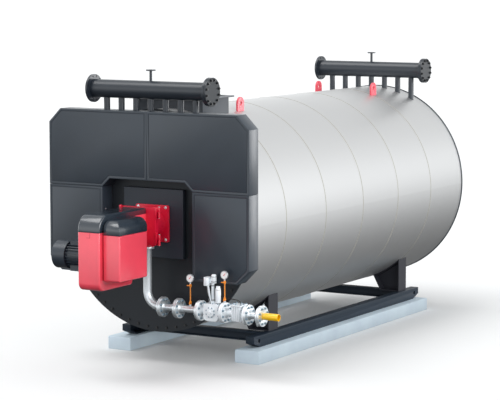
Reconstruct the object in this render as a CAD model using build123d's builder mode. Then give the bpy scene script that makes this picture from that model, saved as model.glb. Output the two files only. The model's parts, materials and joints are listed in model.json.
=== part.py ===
"""Horizontal thermal oil heater with its burner, gas train and skid.

Millimetres, Z up.  The burner end faces -Y, +X is the gas train side, and the
ground is z = 0.  Everything is drawn about the vessel axis (x = 0, front round
plate at y = 0) and written out about the middle of its footprint.
"""

from build123d import *
from math import asin, ceil, cos, radians, sin, sqrt, tan
import os

# Vessel
shell_radius = 1340
shell_wall = 100
shell_length = 5860
shell_lift = 102
ring_length = 1015
ring_joint_gap = 0.6
front_plate_lip = 10
front_plate_t = 30
rear_plate_t = 25
rear_rim_lip = 10
rear_rim_t = 12
rear_cover_radius = 460
rear_cover_t = 20
skin_clearance = 0.3

# Front casing of four panels with an arch for the burner
casing_overhang = 75
casing_depth = 215
casing_drop = 654
casing_crown_drop = 8
casing_chamfer = 167
casing_joint_gap = 3
casing_border = 28
casing_groove_width = 6
casing_groove_depth = 5
arch_half_width = 640
arch_rise = 508
arch_chamfer = 107

# Headers
pipe_radius = 109.5
pipe_wall = 8
header_half_length = 833
header_rise = 252
front_header_y = -109
rear_header_inset = 200
flange_radius = 170
flange_t = 26
flange_bolt_circle = 295
flange_bolt_count = 12
flange_hole_radius = 11
raised_face_radius = 134
raised_face_t = 3
branch_radius = 38
branch_pitch = 210
branch_count = 7
vent_radius = 17
vent_bore_radius = 14
vent_rise = 244
vent_flange_radius = 57.5
vent_flange_t = 16
vent_bolt_circle = 85
vent_bolt_count = 4
vent_hole_radius = 7

# Flue duct
duct_half_width = 460
duct_front_y = 320
duct_depth = 610
duct_wall = 8
duct_rise = 140
duct_flange_lip = 50
duct_flange_t = 20

# Saddle legs
front_saddle_y = 1255
rear_saddle_inset = 995
saddle_length = 230
saddle_outer_x = 906
saddle_plate_t = 14
saddle_web_t = 12
saddle_foot_width = 286
saddle_top_width = 395

# Skid and plinths
rail_height = 144
rail_width = 117
rail_beyond_leg = 56
rail_front_overhang = 571
rail_rear_overhang = 398
rail_web_t = 12
rail_flange_t = 14
rail_toe_length = 160
rail_toe_height = 60
rail_eye_radius = 26
rail_eye_inset = 127
rail_eye_lift = 8
beam_width = 140
beam_web_t = 8
beam_flange_t = 12
beam_from_saddle = 125
plinth_height = 164
plinth_width = 335
plinth_beyond_rail = 134.5
plinth_front_overhang = 122
plinth_rear_overhang = 9
plinth_edge = 8

# Lifting lugs
lug_x = 430
lug_t = 25
lug_width = 156
lug_rise = 173
lug_hole_radius = 26
lug_root = 60

# Burner, fixed side
burner_drop = 13
door_half_width = 422
door_below_axis = 430
door_above_axis = 402
door_t = 70
door_corner = 5
mount_width = 470
mount_height = 445
mount_t = 30
mount_corner = 22
neck_radius = 185
neck_length = 260
neck_bore_radius = 150
neck_bore_depth = 180
head_width = 508
head_height = 450
head_t = 25
head_corner = 25
inlet_x = 55
inlet_from_head = 95
inlet_radius = 52
inlet_flange_radius = 85
inlet_flange_t = 25
inlet_drop = 257
inlet_stub_collar_t = 14

# Hinge of the swinging burner
hinge_from_edge = 34
hinge_clearance = 5
hinge_knuckle_radius = 16
hinge_pin_radius = 8
hinge_pin_clearance = 0.2
hinge_pin_head_radius = 13
hinge_pin_head_t = 8
hinge_pin_tail = 6
knuckle_gap = 1
fixed_knuckle_bottoms = (-222, 108)
moving_knuckle_bottoms = (-155, 175)
moving_knuckle_tops = (-95, 234)

# Burner, swinging side
swing_t = 25
volute_left = 180
volute_right = 120
volute_reach = 985
volute_length = 700
volute_drop = 657
volute_corner = 90
volute_heel = 50
volute_edge = 22
volute_neck_drop = 177
seam_rise = 23
neck_seam_rise = 151
neck_seam_setback = 60
volute_cover_height = 200
volute_crown = 180
airbox_gap = 20
airbox_width = 220
airbox_length = 585
airbox_setback = 60
airbox_drop = 539
airbox_seam_drop = 3
airbox_cover_height = 166
airbox_crown = 115
airbox_corner = 25
airbox_edge = 18
airbox_duct_radius = 150
motor_setback = 350
motor_drop = 305
motor_flange_radius = 165
motor_flange_t = 20
motor_radius = 128
motor_fin_radius = 150
motor_fin_t = 6
motor_fin_count = 24
motor_length = 334
end_shield_t = 24
cowl_radius = 165
cowl_length = 176
cowl_t = 3
slot_count = 12
slot_radius = 6
slot_length = 60
slot_circle_radius = 96
terminal_width = 230
terminal_depth = 130
terminal_height = 48
motor_foot_width = 210
motor_foot_depth = 170
motor_foot_drop = 178

# Gas train
gas_drop = 967
gas_radius = 42
gas_wall = 5
gas_flange_radius = 120
gas_flange_t = 24
gas_hub_radius = 60
gas_hub_length = 22
gas_bend_radius = 176
bend_to_joint = 45
spool_1_length = 222
spool_2_length = 302
valve_length = 330
filter_length = 317
inlet_spool_length = 182
inlet_pipe_length = 229

# Safety valve between the second spool and the filter
valve_offset = 15
valve_half_width = 100
valve_half_depth = 75
valve_below_pipe = 100
valve_above_pipe = 98
valve_flank = 24
valve_base_t = 15
valve_base_inset = 22
block_corner = 14

# Actuator on the valve: stem, cap and a gland box with its conduit
actuator_offset = -12
stem_radius = 18
stem_collar_radius = 34
stem_collar_t = 20
cap_offset = 14
cap_radius = 32
cap_bottom = 240
cap_height = 105
cap_dome = 20
gland_box_offset = -62
gland_box_width = 56
gland_box_forward = 18
gland_box_depth = 104
gland_box_bottom = 211
gland_box_height = 100
gland_box_corner = 16
conduit_radius = 14
conduit_from_box = 14
conduit_forward = 37
conduit_lean = 41
damper_offset = 72
damper_forward = 20
damper_radius = 33
damper_height = 184
damper_top_radius = 25
damper_top_height = 28

# Gas filter
filter_offset = 31
filter_half_width = 66
filter_below_pipe = 80
filter_above_pipe = 96
filter_cover_half_width = 80
filter_cover_t = 18

# Leads of the actuator: each turns at these shares of its way along X and of its height
lead_radius = 5
bend_share = 0.45
filter_lead_behind = 28
filter_lead_from_box = 7
filter_lead_on_cover = 8
filter_lead_turns = (
    (0, 0.75),
    (0.09, 0.53),
    (0.26, 0.36),
    (0.46, 0.29),
    (0.68, 0.26),
    (0.85, 0.23),
    (1, 0.17),
)
valve_lead_forward = 62
valve_lead_from_box = 12
valve_lead_lean = 50
valve_lead_turns = ((0, 0.82), (0.22, 0.62), (0.52, 0.42), (0.84, 0.24), (1, 0.1))

# Gauges
gauge_1_from_joint = 160
gauge_1_height = 371
gauge_2_height = 445
dial_radius = 50
dial_t = 32
gauge_stem_radius = 9
gauge_boss_radius = 15
gauge_boss_height = 20
cock_radius = 18
cock_length = 44
upper_cock_drop = 86
lower_cock_rise = 38
cock_lever = 62
cock_lever_width = 16
cock_lever_t = 8

# Heights worked out from the ground up
rail_bottom = plinth_height
rail_top = rail_bottom + rail_height
axis_z = rail_top + shell_lift + shell_radius
casing_bottom = axis_z - casing_drop
casing_top = axis_z + shell_radius - casing_crown_drop
arch_top = axis_z + arch_rise
casing_split_z = arch_top - arch_chamfer
header_z = casing_top + header_rise
vent_top = header_z + vent_rise
duct_top = axis_z + shell_radius + duct_rise
burner_z = axis_z - burner_drop
door_bottom = axis_z - door_below_axis
door_top = axis_z + door_above_axis
inlet_joint_z = burner_z - inlet_drop
seam_z = burner_z + seam_rise
volute_bottom = burner_z - volute_drop
volute_top = seam_z + volute_cover_height
volute_neck_bottom = burner_z - volute_neck_drop
neck_seam_z = burner_z + neck_seam_rise
airbox_bottom = burner_z - airbox_drop
airbox_seam_z = burner_z - airbox_seam_drop
airbox_top = airbox_seam_z + airbox_cover_height
motor_z = burner_z - motor_drop
gas_z = burner_z - gas_drop
valve_top = gas_z + valve_above_pipe
box_bottom = valve_top + gland_box_bottom
filter_top = gas_z + filter_above_pipe

# Places along Y, from the burner to the rear
shell_front = front_plate_t
shell_rear = shell_front + shell_length
ring_count = ceil(shell_length / ring_length)
rear_header_y = shell_rear - rear_header_inset
saddle_y = (front_saddle_y, shell_rear - rear_saddle_inset)
rail_front_y = saddle_y[0] - rail_front_overhang
rail_rear_y = saddle_y[1] + rail_rear_overhang
plinth_front_y = rail_front_y - plinth_front_overhang
plinth_rear_y = rail_rear_y + plinth_rear_overhang
door_face_y = -door_t
mount_face_y = door_face_y - mount_t
head_face_y = mount_face_y - neck_length - head_t
gas_y = head_face_y + inlet_from_head
swing_rear_y = head_face_y - hinge_clearance
swing_face_y = swing_rear_y - swing_t
hinge_y = head_face_y - hinge_clearance / 2
volute_front_y = swing_face_y - volute_reach
volute_rear_y = volute_front_y + volute_length
airbox_front_y = volute_front_y + airbox_setback
airbox_rear_y = airbox_front_y + airbox_length
motor_y = volute_front_y + motor_setback
damper_y = gas_y - damper_forward
neck_seam_y = volute_rear_y + neck_seam_setback
filter_lead_y = gas_y + filter_lead_behind
valve_lead_y = gas_y - valve_lead_forward

# Places along X
casing_half_width = shell_radius + casing_overhang
front_plate_radius = shell_radius + front_plate_lip
rear_rim_radius = shell_radius + rear_rim_lip
rail_outer_x = saddle_outer_x + rail_beyond_leg
rail_inner_x = rail_outer_x - rail_width
plinth_centre_x = rail_outer_x + plinth_beyond_rail - plinth_width / 2
saddle_foot_inner_x = saddle_outer_x - saddle_foot_width
saddle_top_inner_x = saddle_outer_x - saddle_top_width
hinge_x = head_width / 2 + hinge_from_edge
volute_left_x = -volute_left
volute_right_x = volute_right
airbox_left_x = volute_right_x + airbox_gap
airbox_right_x = airbox_left_x + airbox_width
shield_x = volute_left_x - motor_flange_t - motor_length
joint_1_x = inlet_x + gas_bend_radius + bend_to_joint
joint_2_x = joint_1_x + spool_1_length
joint_3_x = joint_2_x + spool_2_length
joint_4_x = joint_3_x + valve_length
joint_5_x = joint_4_x + filter_length
joint_6_x = joint_5_x + inlet_spool_length
gas_end_x = joint_6_x + inlet_pipe_length
valve_x = (joint_3_x + joint_4_x) / 2 + valve_offset
actuator_x = valve_x + actuator_offset
gland_box_x = actuator_x + gland_box_offset
damper_x = valve_x + damper_offset
filter_x = (joint_4_x + joint_5_x) / 2 + filter_offset
gauge_1_x = joint_2_x + gauge_1_from_joint
gauge_2_x = joint_4_x

# The written frame stands on the ground at the middle of the footprint
overall_rear_y = shell_rear + rear_plate_t + rear_cover_t
middle_x = (gas_end_x - casing_half_width) / 2
middle_y = (volute_front_y + overall_rear_y) / 2
to_footprint_middle = Location((-middle_x, -middle_y, 0))

os.makedirs("parts", exist_ok=True)


def facing_front(x, y, z):
    """Plane that looks toward -Y, with its own x along +X and its own y along +Z."""
    return Plane(origin=(x, y, z), x_dir=(1, 0, 0), z_dir=(0, -1, 0))


def facing_right(x, y, z):
    """Plane that looks toward +X, with its own x along +Y and its own y along +Z."""
    return Plane(origin=(x, y, z), x_dir=(0, 1, 0), z_dir=(1, 0, 0))


def facing_up(x, y, z):
    """Plane that looks toward +Z, with its own x along +X and its own y along +Y."""
    return Plane(origin=(x, y, z), x_dir=(1, 0, 0), z_dir=(0, 0, 1))


def disc(plane, radius, thickness, mode=Mode.ADD):
    """A round plate or bar on the plane, added to or cut from the open part."""
    with BuildSketch(plane) as face:
        Circle(radius)
    extrude(face.sketch, amount=thickness, mode=mode)


def drilled_flange(plane, radius, thickness, bolt_circle, count, hole_radius):
    """A round flange with its ring of bolt holes, the first a half step off the top."""
    with BuildSketch(plane) as face:
        Circle(radius)
        with PolarLocations(bolt_circle / 2, count, start_angle=180 / count):
            Circle(hole_radius, mode=Mode.SUBTRACT)
    extrude(face.sketch, amount=thickness)


def write(piece, label):
    """Name a finished piece and write it about the middle of the footprint."""
    placed = piece.moved(to_footprint_middle)
    placed.label = label
    export_step(placed, f"parts/{label}.step")


# Plinths
with BuildPart() as plinths:
    for side in (-1, 1):
        with BuildSketch(facing_up(side * plinth_centre_x, (plinth_front_y + plinth_rear_y) / 2, 0)):
            Rectangle(plinth_width, plinth_rear_y - plinth_front_y)
        extrude(amount=plinth_height)
    chamfer(plinths.edges().group_by(Axis.Z)[-1], length=plinth_edge)
write(plinths.part, "plinths")


# Skid rails: channels with slanted toes and a towing eye near each end
def build_rail(side):
    web_x = side * rail_outer_x
    toe_y = rail_front_y + rail_toe_length
    heel_y = rail_rear_y - rail_toe_length
    toe_z = rail_bottom + rail_toe_height
    pocket_depth = rail_width - rail_web_t
    eye_z = (rail_bottom + rail_top) / 2 + rail_eye_lift
    with BuildPart() as rail:
        with BuildSketch(Plane.YZ.offset(side * rail_inner_x)) as outline:
            with BuildLine():
                Polyline(
                    (toe_y, rail_bottom),
                    (heel_y, rail_bottom),
                    (rail_rear_y, toe_z),
                    (rail_rear_y, rail_top),
                    (rail_front_y, rail_top),
                    (rail_front_y, toe_z),
                    close=True,
                )
            make_face()
        extrude(amount=side * rail_width)
        pocket = offset(
            outline.sketch, amount=-rail_flange_t, kind=Kind.INTERSECTION, mode=Mode.PRIVATE
        )
        extrude(pocket, amount=side * pocket_depth, mode=Mode.SUBTRACT)
        with BuildSketch(Plane.YZ.offset(web_x)):
            with Locations(
                (rail_front_y + rail_eye_inset, eye_z),
                (rail_rear_y - rail_eye_inset, eye_z),
            ):
                Circle(rail_eye_radius)
        extrude(amount=-side * rail_web_t, mode=Mode.SUBTRACT)
    return rail


write(build_rail(-1).part, "skid_rail_left")
write(build_rail(1).part, "skid_rail_right")

# Cross beams: one H beam under the near edge of each pair of legs
with BuildPart() as cross_beams:
    for y in (saddle_y[0] - beam_from_saddle, saddle_y[1] + beam_from_saddle):
        start_x = -rail_inner_x - rail_width + rail_web_t + skin_clearance
        beam_bottom = rail_bottom + rail_flange_t + skin_clearance
        beam_top = rail_top - rail_flange_t - skin_clearance
        middle_z = (beam_bottom + beam_top) / 2
        height = beam_top - beam_bottom
        pocket_width = (beam_width - beam_web_t) / 2
        with BuildSketch(facing_right(start_x, y, middle_z)):
            Rectangle(beam_width, height)
            with Locations((-(beam_web_t + pocket_width) / 2, 0), ((beam_web_t + pocket_width) / 2, 0)):
                Rectangle(pocket_width, height - 2 * beam_flange_t, mode=Mode.SUBTRACT)
        extrude(amount=-2 * start_x)
write(cross_beams.part, "cross_beams")



# Saddle legs: I-shaped legs with a centre web, their heads curved to the shell
def saddle_face(side, y):
    """Leg outline from the rail top to the shell, drawn on the leg's rear plane."""
    reach = shell_radius + skin_clearance
    outer_angle = asin(saddle_outer_x / reach)
    inner_angle = asin(saddle_top_inner_x / reach)
    middle_angle = (outer_angle + inner_angle) / 2

    def on_shell(angle):
        return (side * reach * sin(angle), axis_z - reach * cos(angle))

    with BuildSketch(facing_front(0, y, 0)) as face:
        with BuildLine():
            Polyline(
                on_shell(inner_angle),
                (side * saddle_foot_inner_x, rail_top),
                (side * saddle_outer_x, rail_top),
                on_shell(outer_angle),
            )
            ThreePointArc(on_shell(outer_angle), on_shell(middle_angle), on_shell(inner_angle))
        make_face()
    return face.sketch


pocket_depth = (saddle_length - saddle_web_t) / 2
with BuildPart() as saddle_legs:
    for y in saddle_y:
        for side in (-1, 1):
            leg_face = saddle_face(side, y + saddle_length / 2)
            extrude(leg_face, amount=saddle_length)
    for y in saddle_y:
        for side in (-1, 1):
            for pocket_y in (y + saddle_length / 2, y - saddle_web_t / 2):
                pocket = offset(
                    saddle_face(side, pocket_y),
                    amount=-saddle_plate_t,
                    kind=Kind.INTERSECTION,
                    mode=Mode.PRIVATE,
                )
                extrude(pocket, amount=pocket_depth, mode=Mode.SUBTRACT)
write(saddle_legs.part, "saddle_legs")

# Shell of insulated cladding rings, the first one cut to what is left of the length
with BuildPart() as cladding_rings:
    for index in range(ring_count):
        rear_y = shell_rear - index * ring_length
        front_y = shell_front if index == ring_count - 1 else rear_y - ring_length
        with BuildSketch(facing_front(0, rear_y, axis_z)) as ring_face:
            Circle(shell_radius)
            Circle(shell_radius - shell_wall, mode=Mode.SUBTRACT)
        extrude(ring_face.sketch, amount=rear_y - front_y - ring_joint_gap)
write(cladding_rings.part, "cladding_rings")

# Round end plates
with BuildPart() as front_plate:
    disc(facing_front(0, front_plate_t, axis_z), front_plate_radius, front_plate_t)
write(front_plate.part, "front_plate")

with BuildPart() as rear_plate:
    disc(facing_front(0, shell_rear + rear_plate_t, axis_z), shell_radius, rear_plate_t)
    disc(facing_front(0, shell_rear + rear_rim_t, axis_z), rear_rim_radius, rear_rim_t)
write(rear_plate.part, "rear_plate")

with BuildPart() as rear_cover:
    disc(facing_front(0, overall_rear_y, axis_z), rear_cover_radius, rear_cover_t)
write(rear_cover.part, "rear_cover")


# Front casing panels, each a filled tray whose face is pressed with a groove inside its border
def build_panel(side, outline):
    with BuildPart() as panel:
        with BuildSketch(Plane.XZ) as face:
            with BuildLine():
                Polyline(*[(side * x, z) for x, z in outline], close=True)
            make_face()
        extrude(amount=casing_depth)
        with BuildSketch(Plane.XZ.offset(casing_depth)) as groove:
            with BuildLine():
                Polyline(*[(side * x, z) for x, z in outline], close=True)
            make_face()
            offset(amount=-casing_border, kind=Kind.INTERSECTION, mode=Mode.REPLACE)
            offset(amount=-casing_groove_width, kind=Kind.INTERSECTION, mode=Mode.SUBTRACT)
        extrude(groove.sketch, amount=-casing_groove_depth, mode=Mode.SUBTRACT)
    return panel


half_gap = casing_joint_gap / 2
upper_outline = (
    (half_gap, arch_top),
    (arch_half_width - arch_chamfer, arch_top),
    (arch_half_width - half_gap, casing_split_z + half_gap),
    (casing_half_width, casing_split_z + half_gap),
    (casing_half_width, casing_top - casing_chamfer),
    (casing_half_width - casing_chamfer, casing_top),
    (half_gap, casing_top),
)
lower_outline = (
    (arch_half_width, casing_bottom),
    (casing_half_width - casing_chamfer, casing_bottom),
    (casing_half_width, casing_bottom + casing_chamfer),
    (casing_half_width, casing_split_z - half_gap),
    (arch_half_width, casing_split_z - half_gap),
)
for side, hand in ((-1, "left"), (1, "right")):
    write(build_panel(side, upper_outline).part, f"casing_upper_{hand}")
    write(build_panel(side, lower_outline).part, f"casing_lower_{hand}")


# Headers: a pipe with an open flange at its left end and a vent on top
def build_header(y):
    middle = (y, header_z)
    length = 2 * header_half_length
    with BuildPart() as header:
        disc(facing_right(-header_half_length, *middle), pipe_radius, length)
        drilled_flange(
            facing_right(-header_half_length, *middle),
            flange_radius,
            flange_t,
            flange_bolt_circle,
            flange_bolt_count,
            flange_hole_radius,
        )
        disc(facing_right(header_half_length - flange_t, *middle), flange_radius, flange_t)
        disc(facing_up(0, y, header_z), vent_radius, vent_rise)
        drilled_flange(
            facing_up(0, y, vent_top - vent_flange_t),
            vent_flange_radius,
            vent_flange_t,
            vent_bolt_circle,
            vent_bolt_count,
            vent_hole_radius,
        )
        disc(facing_right(-header_half_length, *middle), pipe_radius - pipe_wall, length, Mode.SUBTRACT)
        disc(facing_up(0, y, header_z), vent_bore_radius, vent_rise, Mode.SUBTRACT)
    return header


def build_branches(y, foot_z):
    """The row of branch pipes from foot_z up to the header, cut to its round underside."""
    with BuildPart() as branches:
        with BuildSketch(facing_up(0, y, foot_z)) as feet:
            with GridLocations(branch_pitch, 0, branch_count, 1):
                Circle(branch_radius)
        extrude(feet.sketch, amount=header_z - foot_z)
        disc(
            facing_right(-header_half_length, y, header_z),
            pipe_radius + skin_clearance,
            2 * header_half_length,
            Mode.SUBTRACT,
        )
        disc(
            facing_front(0, y + 2 * branch_radius, axis_z),
            shell_radius + skin_clearance,
            4 * branch_radius,
            Mode.SUBTRACT,
        )
    return branches


def build_blind(y):
    with BuildPart() as blind:
        disc(facing_right(header_half_length, y, header_z), raised_face_radius, raised_face_t)
        disc(facing_right(header_half_length + raised_face_t, y, header_z), flange_radius, flange_t)
    return blind


write(build_header(front_header_y).part, "header_front")
write(build_header(rear_header_y).part, "header_rear")
write(build_branches(front_header_y, casing_top).part, "branches_front")
write(build_branches(rear_header_y, axis_z + shell_radius / 2).part, "branches_rear")
write(build_blind(front_header_y).part, "blind_flange_front")
write(build_blind(rear_header_y).part, "blind_flange_rear")

# Flue duct: a square well on the crown of the shell with an angle flange
duct_middle_y = duct_front_y + duct_depth / 2
with BuildPart() as flue_duct:
    with BuildSketch(facing_up(0, duct_middle_y, axis_z)) as duct_walls:
        Rectangle(2 * duct_half_width, duct_depth)
    extrude(duct_walls.sketch, amount=duct_top - axis_z)
    with BuildSketch(facing_up(0, duct_middle_y, duct_top - duct_flange_t)) as duct_flange:
        Rectangle(2 * (duct_half_width + duct_flange_lip), duct_depth + 2 * duct_flange_lip)
    extrude(duct_flange.sketch, amount=duct_flange_t)
    with BuildSketch(facing_up(0, duct_middle_y, axis_z)) as duct_bore:
        Rectangle(2 * (duct_half_width - duct_wall), duct_depth - 2 * duct_wall)
    extrude(duct_bore.sketch, amount=duct_top - axis_z, mode=Mode.SUBTRACT)
    disc(
        facing_front(0, duct_front_y + 2 * duct_depth, axis_z),
        shell_radius + skin_clearance,
        3 * duct_depth,
        Mode.SUBTRACT,
    )
write(flue_duct.part, "flue_duct")

# Lifting lugs: four eye plates along the shell over the saddles
with BuildPart() as lifting_lugs:
    for y in saddle_y:
        for x in (-lug_x, lug_x):
            shell_z = axis_z + sqrt(shell_radius ** 2 - lug_x ** 2)
            foot_z = shell_z - lug_root
            eye_z = shell_z + lug_rise - lug_width / 2
            with BuildSketch(facing_right(x - lug_t / 2, y, foot_z)) as lug_face:
                with Locations((0, (eye_z - foot_z) / 2)):
                    Rectangle(lug_width, eye_z - foot_z)
                with Locations((0, eye_z - foot_z)):
                    Circle(lug_width / 2)
                    Circle(lug_hole_radius, mode=Mode.SUBTRACT)
            extrude(lug_face.sketch, amount=lug_t)
    disc(
        facing_front(0, shell_rear, axis_z),
        shell_radius + skin_clearance,
        shell_length,
        Mode.SUBTRACT,
    )
write(lifting_lugs.part, "lifting_lugs")

# Burner door and the plate that the burner is bolted to
with BuildPart() as burner_door:
    with BuildSketch(facing_front(0, 0, (door_bottom + door_top) / 2)):
        RectangleRounded(2 * door_half_width, door_top - door_bottom, door_corner)
    extrude(amount=door_t)
write(burner_door.part, "burner_door")

with BuildPart() as burner_mount_plate:
    with BuildSketch(facing_front(0, door_face_y, burner_z)):
        RectangleRounded(mount_width, mount_height, mount_corner)
    extrude(amount=mount_t)
write(burner_mount_plate.part, "burner_mount_plate")


# Fixed burner head: neck, gas inlet, head plate and the fixed hinge knuckles
def knuckle(face_y, bottom, top):
    """One hinge knuckle with the leaf that joins it to a plate face at face_y."""
    away = 1 if face_y > hinge_y else -1
    leaf_depth = hinge_knuckle_radius - abs(face_y - hinge_y)
    leaf_length = 2 * (hinge_x - head_width / 2)
    with BuildSketch(facing_up(hinge_x, hinge_y, bottom)) as face:
        Circle(hinge_knuckle_radius)
        with Locations((-leaf_length / 2, face_y - hinge_y + away * leaf_depth / 2)):
            Rectangle(leaf_length, leaf_depth)
    extrude(face.sketch, amount=top - bottom)


def hinge_bore():
    """Clear the hinge axis for the pins over the whole height of the plates."""
    disc(
        facing_up(hinge_x, hinge_y, burner_z - head_height),
        hinge_pin_radius + hinge_pin_clearance,
        2 * head_height,
        Mode.SUBTRACT,
    )


with BuildPart() as burner_head:
    disc(facing_front(0, mount_face_y, burner_z), neck_radius, neck_length)
    with BuildSketch(facing_front(0, head_face_y + head_t, burner_z)) as head_plate:
        RectangleRounded(head_width, head_height, head_corner)
    extrude(head_plate.sketch, amount=head_t)
    disc(facing_up(inlet_x, gas_y, inlet_joint_z), inlet_radius, burner_z - inlet_joint_z)
    disc(facing_up(inlet_x, gas_y, inlet_joint_z), inlet_flange_radius, inlet_stub_collar_t)
    disc(
        facing_front(0, head_face_y + neck_bore_depth, burner_z),
        neck_bore_radius,
        neck_bore_depth,
        Mode.SUBTRACT,
    )
    disc(
        facing_up(inlet_x, gas_y, inlet_joint_z),
        inlet_radius - gas_wall,
        burner_z - inlet_joint_z,
        Mode.SUBTRACT,
    )
    for bottom, top in zip(fixed_knuckle_bottoms, moving_knuckle_bottoms):
        knuckle(head_face_y, burner_z + bottom, burner_z + top - knuckle_gap)
    hinge_bore()
write(burner_head.part, "burner_head")

with BuildPart() as hinge_pins:
    for bottom, top in zip(fixed_knuckle_bottoms, moving_knuckle_tops):
        tail_z = burner_z + bottom - hinge_pin_tail
        head_z = burner_z + top + hinge_pin_clearance
        disc(facing_up(hinge_x, hinge_y, tail_z), hinge_pin_radius, head_z - tail_z)
        disc(facing_up(hinge_x, hinge_y, head_z), hinge_pin_head_radius, hinge_pin_head_t)
write(hinge_pins.part, "hinge_pins")

# Swinging burner: plate with its knuckles
with BuildPart() as swing_plate:
    with BuildSketch(facing_front(0, swing_rear_y, burner_z)) as swing_face:
        RectangleRounded(head_width, head_height, head_corner)
    extrude(swing_face.sketch, amount=swing_t)
    for bottom, top in zip(moving_knuckle_bottoms, moving_knuckle_tops):
        knuckle(swing_rear_y, burner_z + bottom, burner_z + top)
    hinge_bore()
write(swing_plate.part, "swing_plate")

# Fan volute with the neck that meets the swing plate
with BuildPart() as volute:
    with BuildSketch(Plane.YZ.offset(volute_left_x)) as volute_face:
        with BuildLine():
            Polyline(
                (volute_front_y, seam_z),
                (volute_front_y, volute_bottom),
                (volute_rear_y, volute_bottom),
                (volute_rear_y, volute_neck_bottom),
                (swing_face_y, volute_neck_bottom),
                (swing_face_y, neck_seam_z),
                (neck_seam_y, neck_seam_z),
                (neck_seam_y, seam_z),
                close=True,
            )
        make_face()
        fillet(volute_face.vertices().group_by(Axis.Y)[0].sort_by(Axis.X)[0], radius=volute_corner)
        fillet(volute_face.vertices().group_by(Axis.Y)[0].sort_by(Axis.X)[-1], radius=volute_heel)
    extrude(volute_face.sketch, amount=volute_right_x - volute_left_x)
    fillet(volute.edges().filter_by(Axis.Z).group_by(Axis.Y)[0], radius=volute_edge)
write(volute.part, "volute")

with BuildPart() as volute_cover:
    with BuildSketch(Plane.YZ.offset(volute_left_x)) as cover_face:
        with BuildLine():
            Polyline(
                (volute_front_y, seam_z),
                (volute_front_y, volute_top),
                (swing_face_y, volute_top),
                (swing_face_y, neck_seam_z),
                (neck_seam_y, neck_seam_z),
                (neck_seam_y, seam_z),
                close=True,
            )
        make_face()
        crown = cover_face.vertices().group_by(Axis.Y)[-1].group_by(Axis.X)[0]
        fillet(crown, radius=volute_crown)
    extrude(cover_face.sketch, amount=volute_right_x - volute_left_x)
    fillet(volute_cover.edges().filter_by(Axis.Y).group_by(Axis.Z)[-1], radius=volute_edge)
write(volute_cover.part, "volute_cover")

# Air box beside the volute, joined to it by the fan's round inlet
with BuildPart() as air_box:
    with BuildSketch(Plane.YZ.offset(airbox_left_x)) as airbox_face:
        with BuildLine():
            Polyline(
                (airbox_front_y, airbox_seam_z),
                (airbox_front_y, airbox_bottom),
                (airbox_rear_y, airbox_bottom),
                (airbox_rear_y, airbox_seam_z),
                close=True,
            )
        make_face()
        fillet(airbox_face.vertices().group_by(Axis.Y)[0], radius=airbox_corner)
    extrude(airbox_face.sketch, amount=airbox_right_x - airbox_left_x)
    fillet(air_box.faces().sort_by(Axis.X)[-1].edges(), radius=airbox_edge)
    disc(
        facing_right(volute_right_x, motor_y, motor_z),
        airbox_duct_radius,
        airbox_left_x - volute_right_x,
    )
write(air_box.part, "air_box")

with BuildPart() as air_box_cover:
    with BuildSketch(facing_up(0, 0, airbox_seam_z)):
        with Locations(((airbox_left_x + airbox_right_x) / 2, (airbox_front_y + airbox_rear_y) / 2)):
            Rectangle(airbox_right_x - airbox_left_x, airbox_rear_y - airbox_front_y)
    extrude(amount=airbox_top - airbox_seam_z)
    crown_edges = air_box_cover.faces().sort_by(Axis.Z)[-1].edges()
    fillet([crown_edges.sort_by(Axis.X)[-1], crown_edges.sort_by(Axis.Y)[0]], radius=airbox_crown)
write(air_box_cover.part, "air_box_cover")

# Fan motor: flange, finned frame, end shield and terminal box
with BuildPart() as motor:
    disc(
        facing_right(volute_left_x - motor_flange_t, motor_y, motor_z),
        motor_flange_radius,
        motor_flange_t,
    )
    disc(facing_right(shield_x, motor_y, motor_z), motor_radius, motor_length)
    with BuildSketch(facing_right(shield_x, motor_y, motor_z)) as fins:
        with PolarLocations(motor_radius, motor_fin_count):
            Rectangle(2 * (motor_fin_radius - motor_radius), motor_fin_t)
    extrude(fins.sketch, amount=motor_length)
    disc(
        facing_right(shield_x, motor_y, motor_z),
        cowl_radius - cowl_t - skin_clearance,
        end_shield_t,
    )
    with BuildSketch(
        facing_up(shield_x + motor_length / 2, motor_y, motor_z + motor_radius)
    ) as terminal_box:
        Rectangle(terminal_width, terminal_depth)
    extrude(terminal_box.sketch, amount=terminal_height)
    with BuildSketch(
        facing_up(shield_x + motor_length / 2, motor_y, motor_z - motor_foot_drop)
    ) as motor_foot:
        Rectangle(motor_foot_width, motor_foot_depth)
    extrude(motor_foot.sketch, amount=motor_foot_drop)
write(motor.part, "motor")

with BuildPart() as motor_cowl:
    cowl_x = shield_x + end_shield_t - cowl_length
    disc(facing_right(cowl_x, motor_y, motor_z), cowl_radius, cowl_length)
    disc(
        facing_right(cowl_x + cowl_t, motor_y, motor_z),
        cowl_radius - cowl_t,
        cowl_length - cowl_t,
        Mode.SUBTRACT,
    )
    with BuildSketch(facing_right(cowl_x, motor_y, motor_z)) as slots:
        with PolarLocations(slot_circle_radius, slot_count):
            SlotOverall(slot_length + 2 * slot_radius, 2 * slot_radius)
    extrude(slots.sketch, amount=cowl_t, mode=Mode.SUBTRACT)
write(motor_cowl.part, "motor_cowl")


# Gas train: pieces that meet face to face at the flange joints
def gas_flange(x, side):
    """Weld neck flange whose face lies at x and whose hub points to the given side."""
    face_x = x if side > 0 else x - gas_flange_t
    disc(facing_right(face_x, gas_y, gas_z), gas_flange_radius, gas_flange_t)
    hub_start = x + side * gas_flange_t
    with BuildSketch(facing_right(hub_start, gas_y, gas_z)) as hub_root:
        Circle(gas_hub_radius)
    with BuildSketch(facing_right(hub_start + side * gas_hub_length, gas_y, gas_z)) as hub_end:
        Circle(gas_radius)
    loft([hub_root.sketch, hub_end.sketch])


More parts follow.
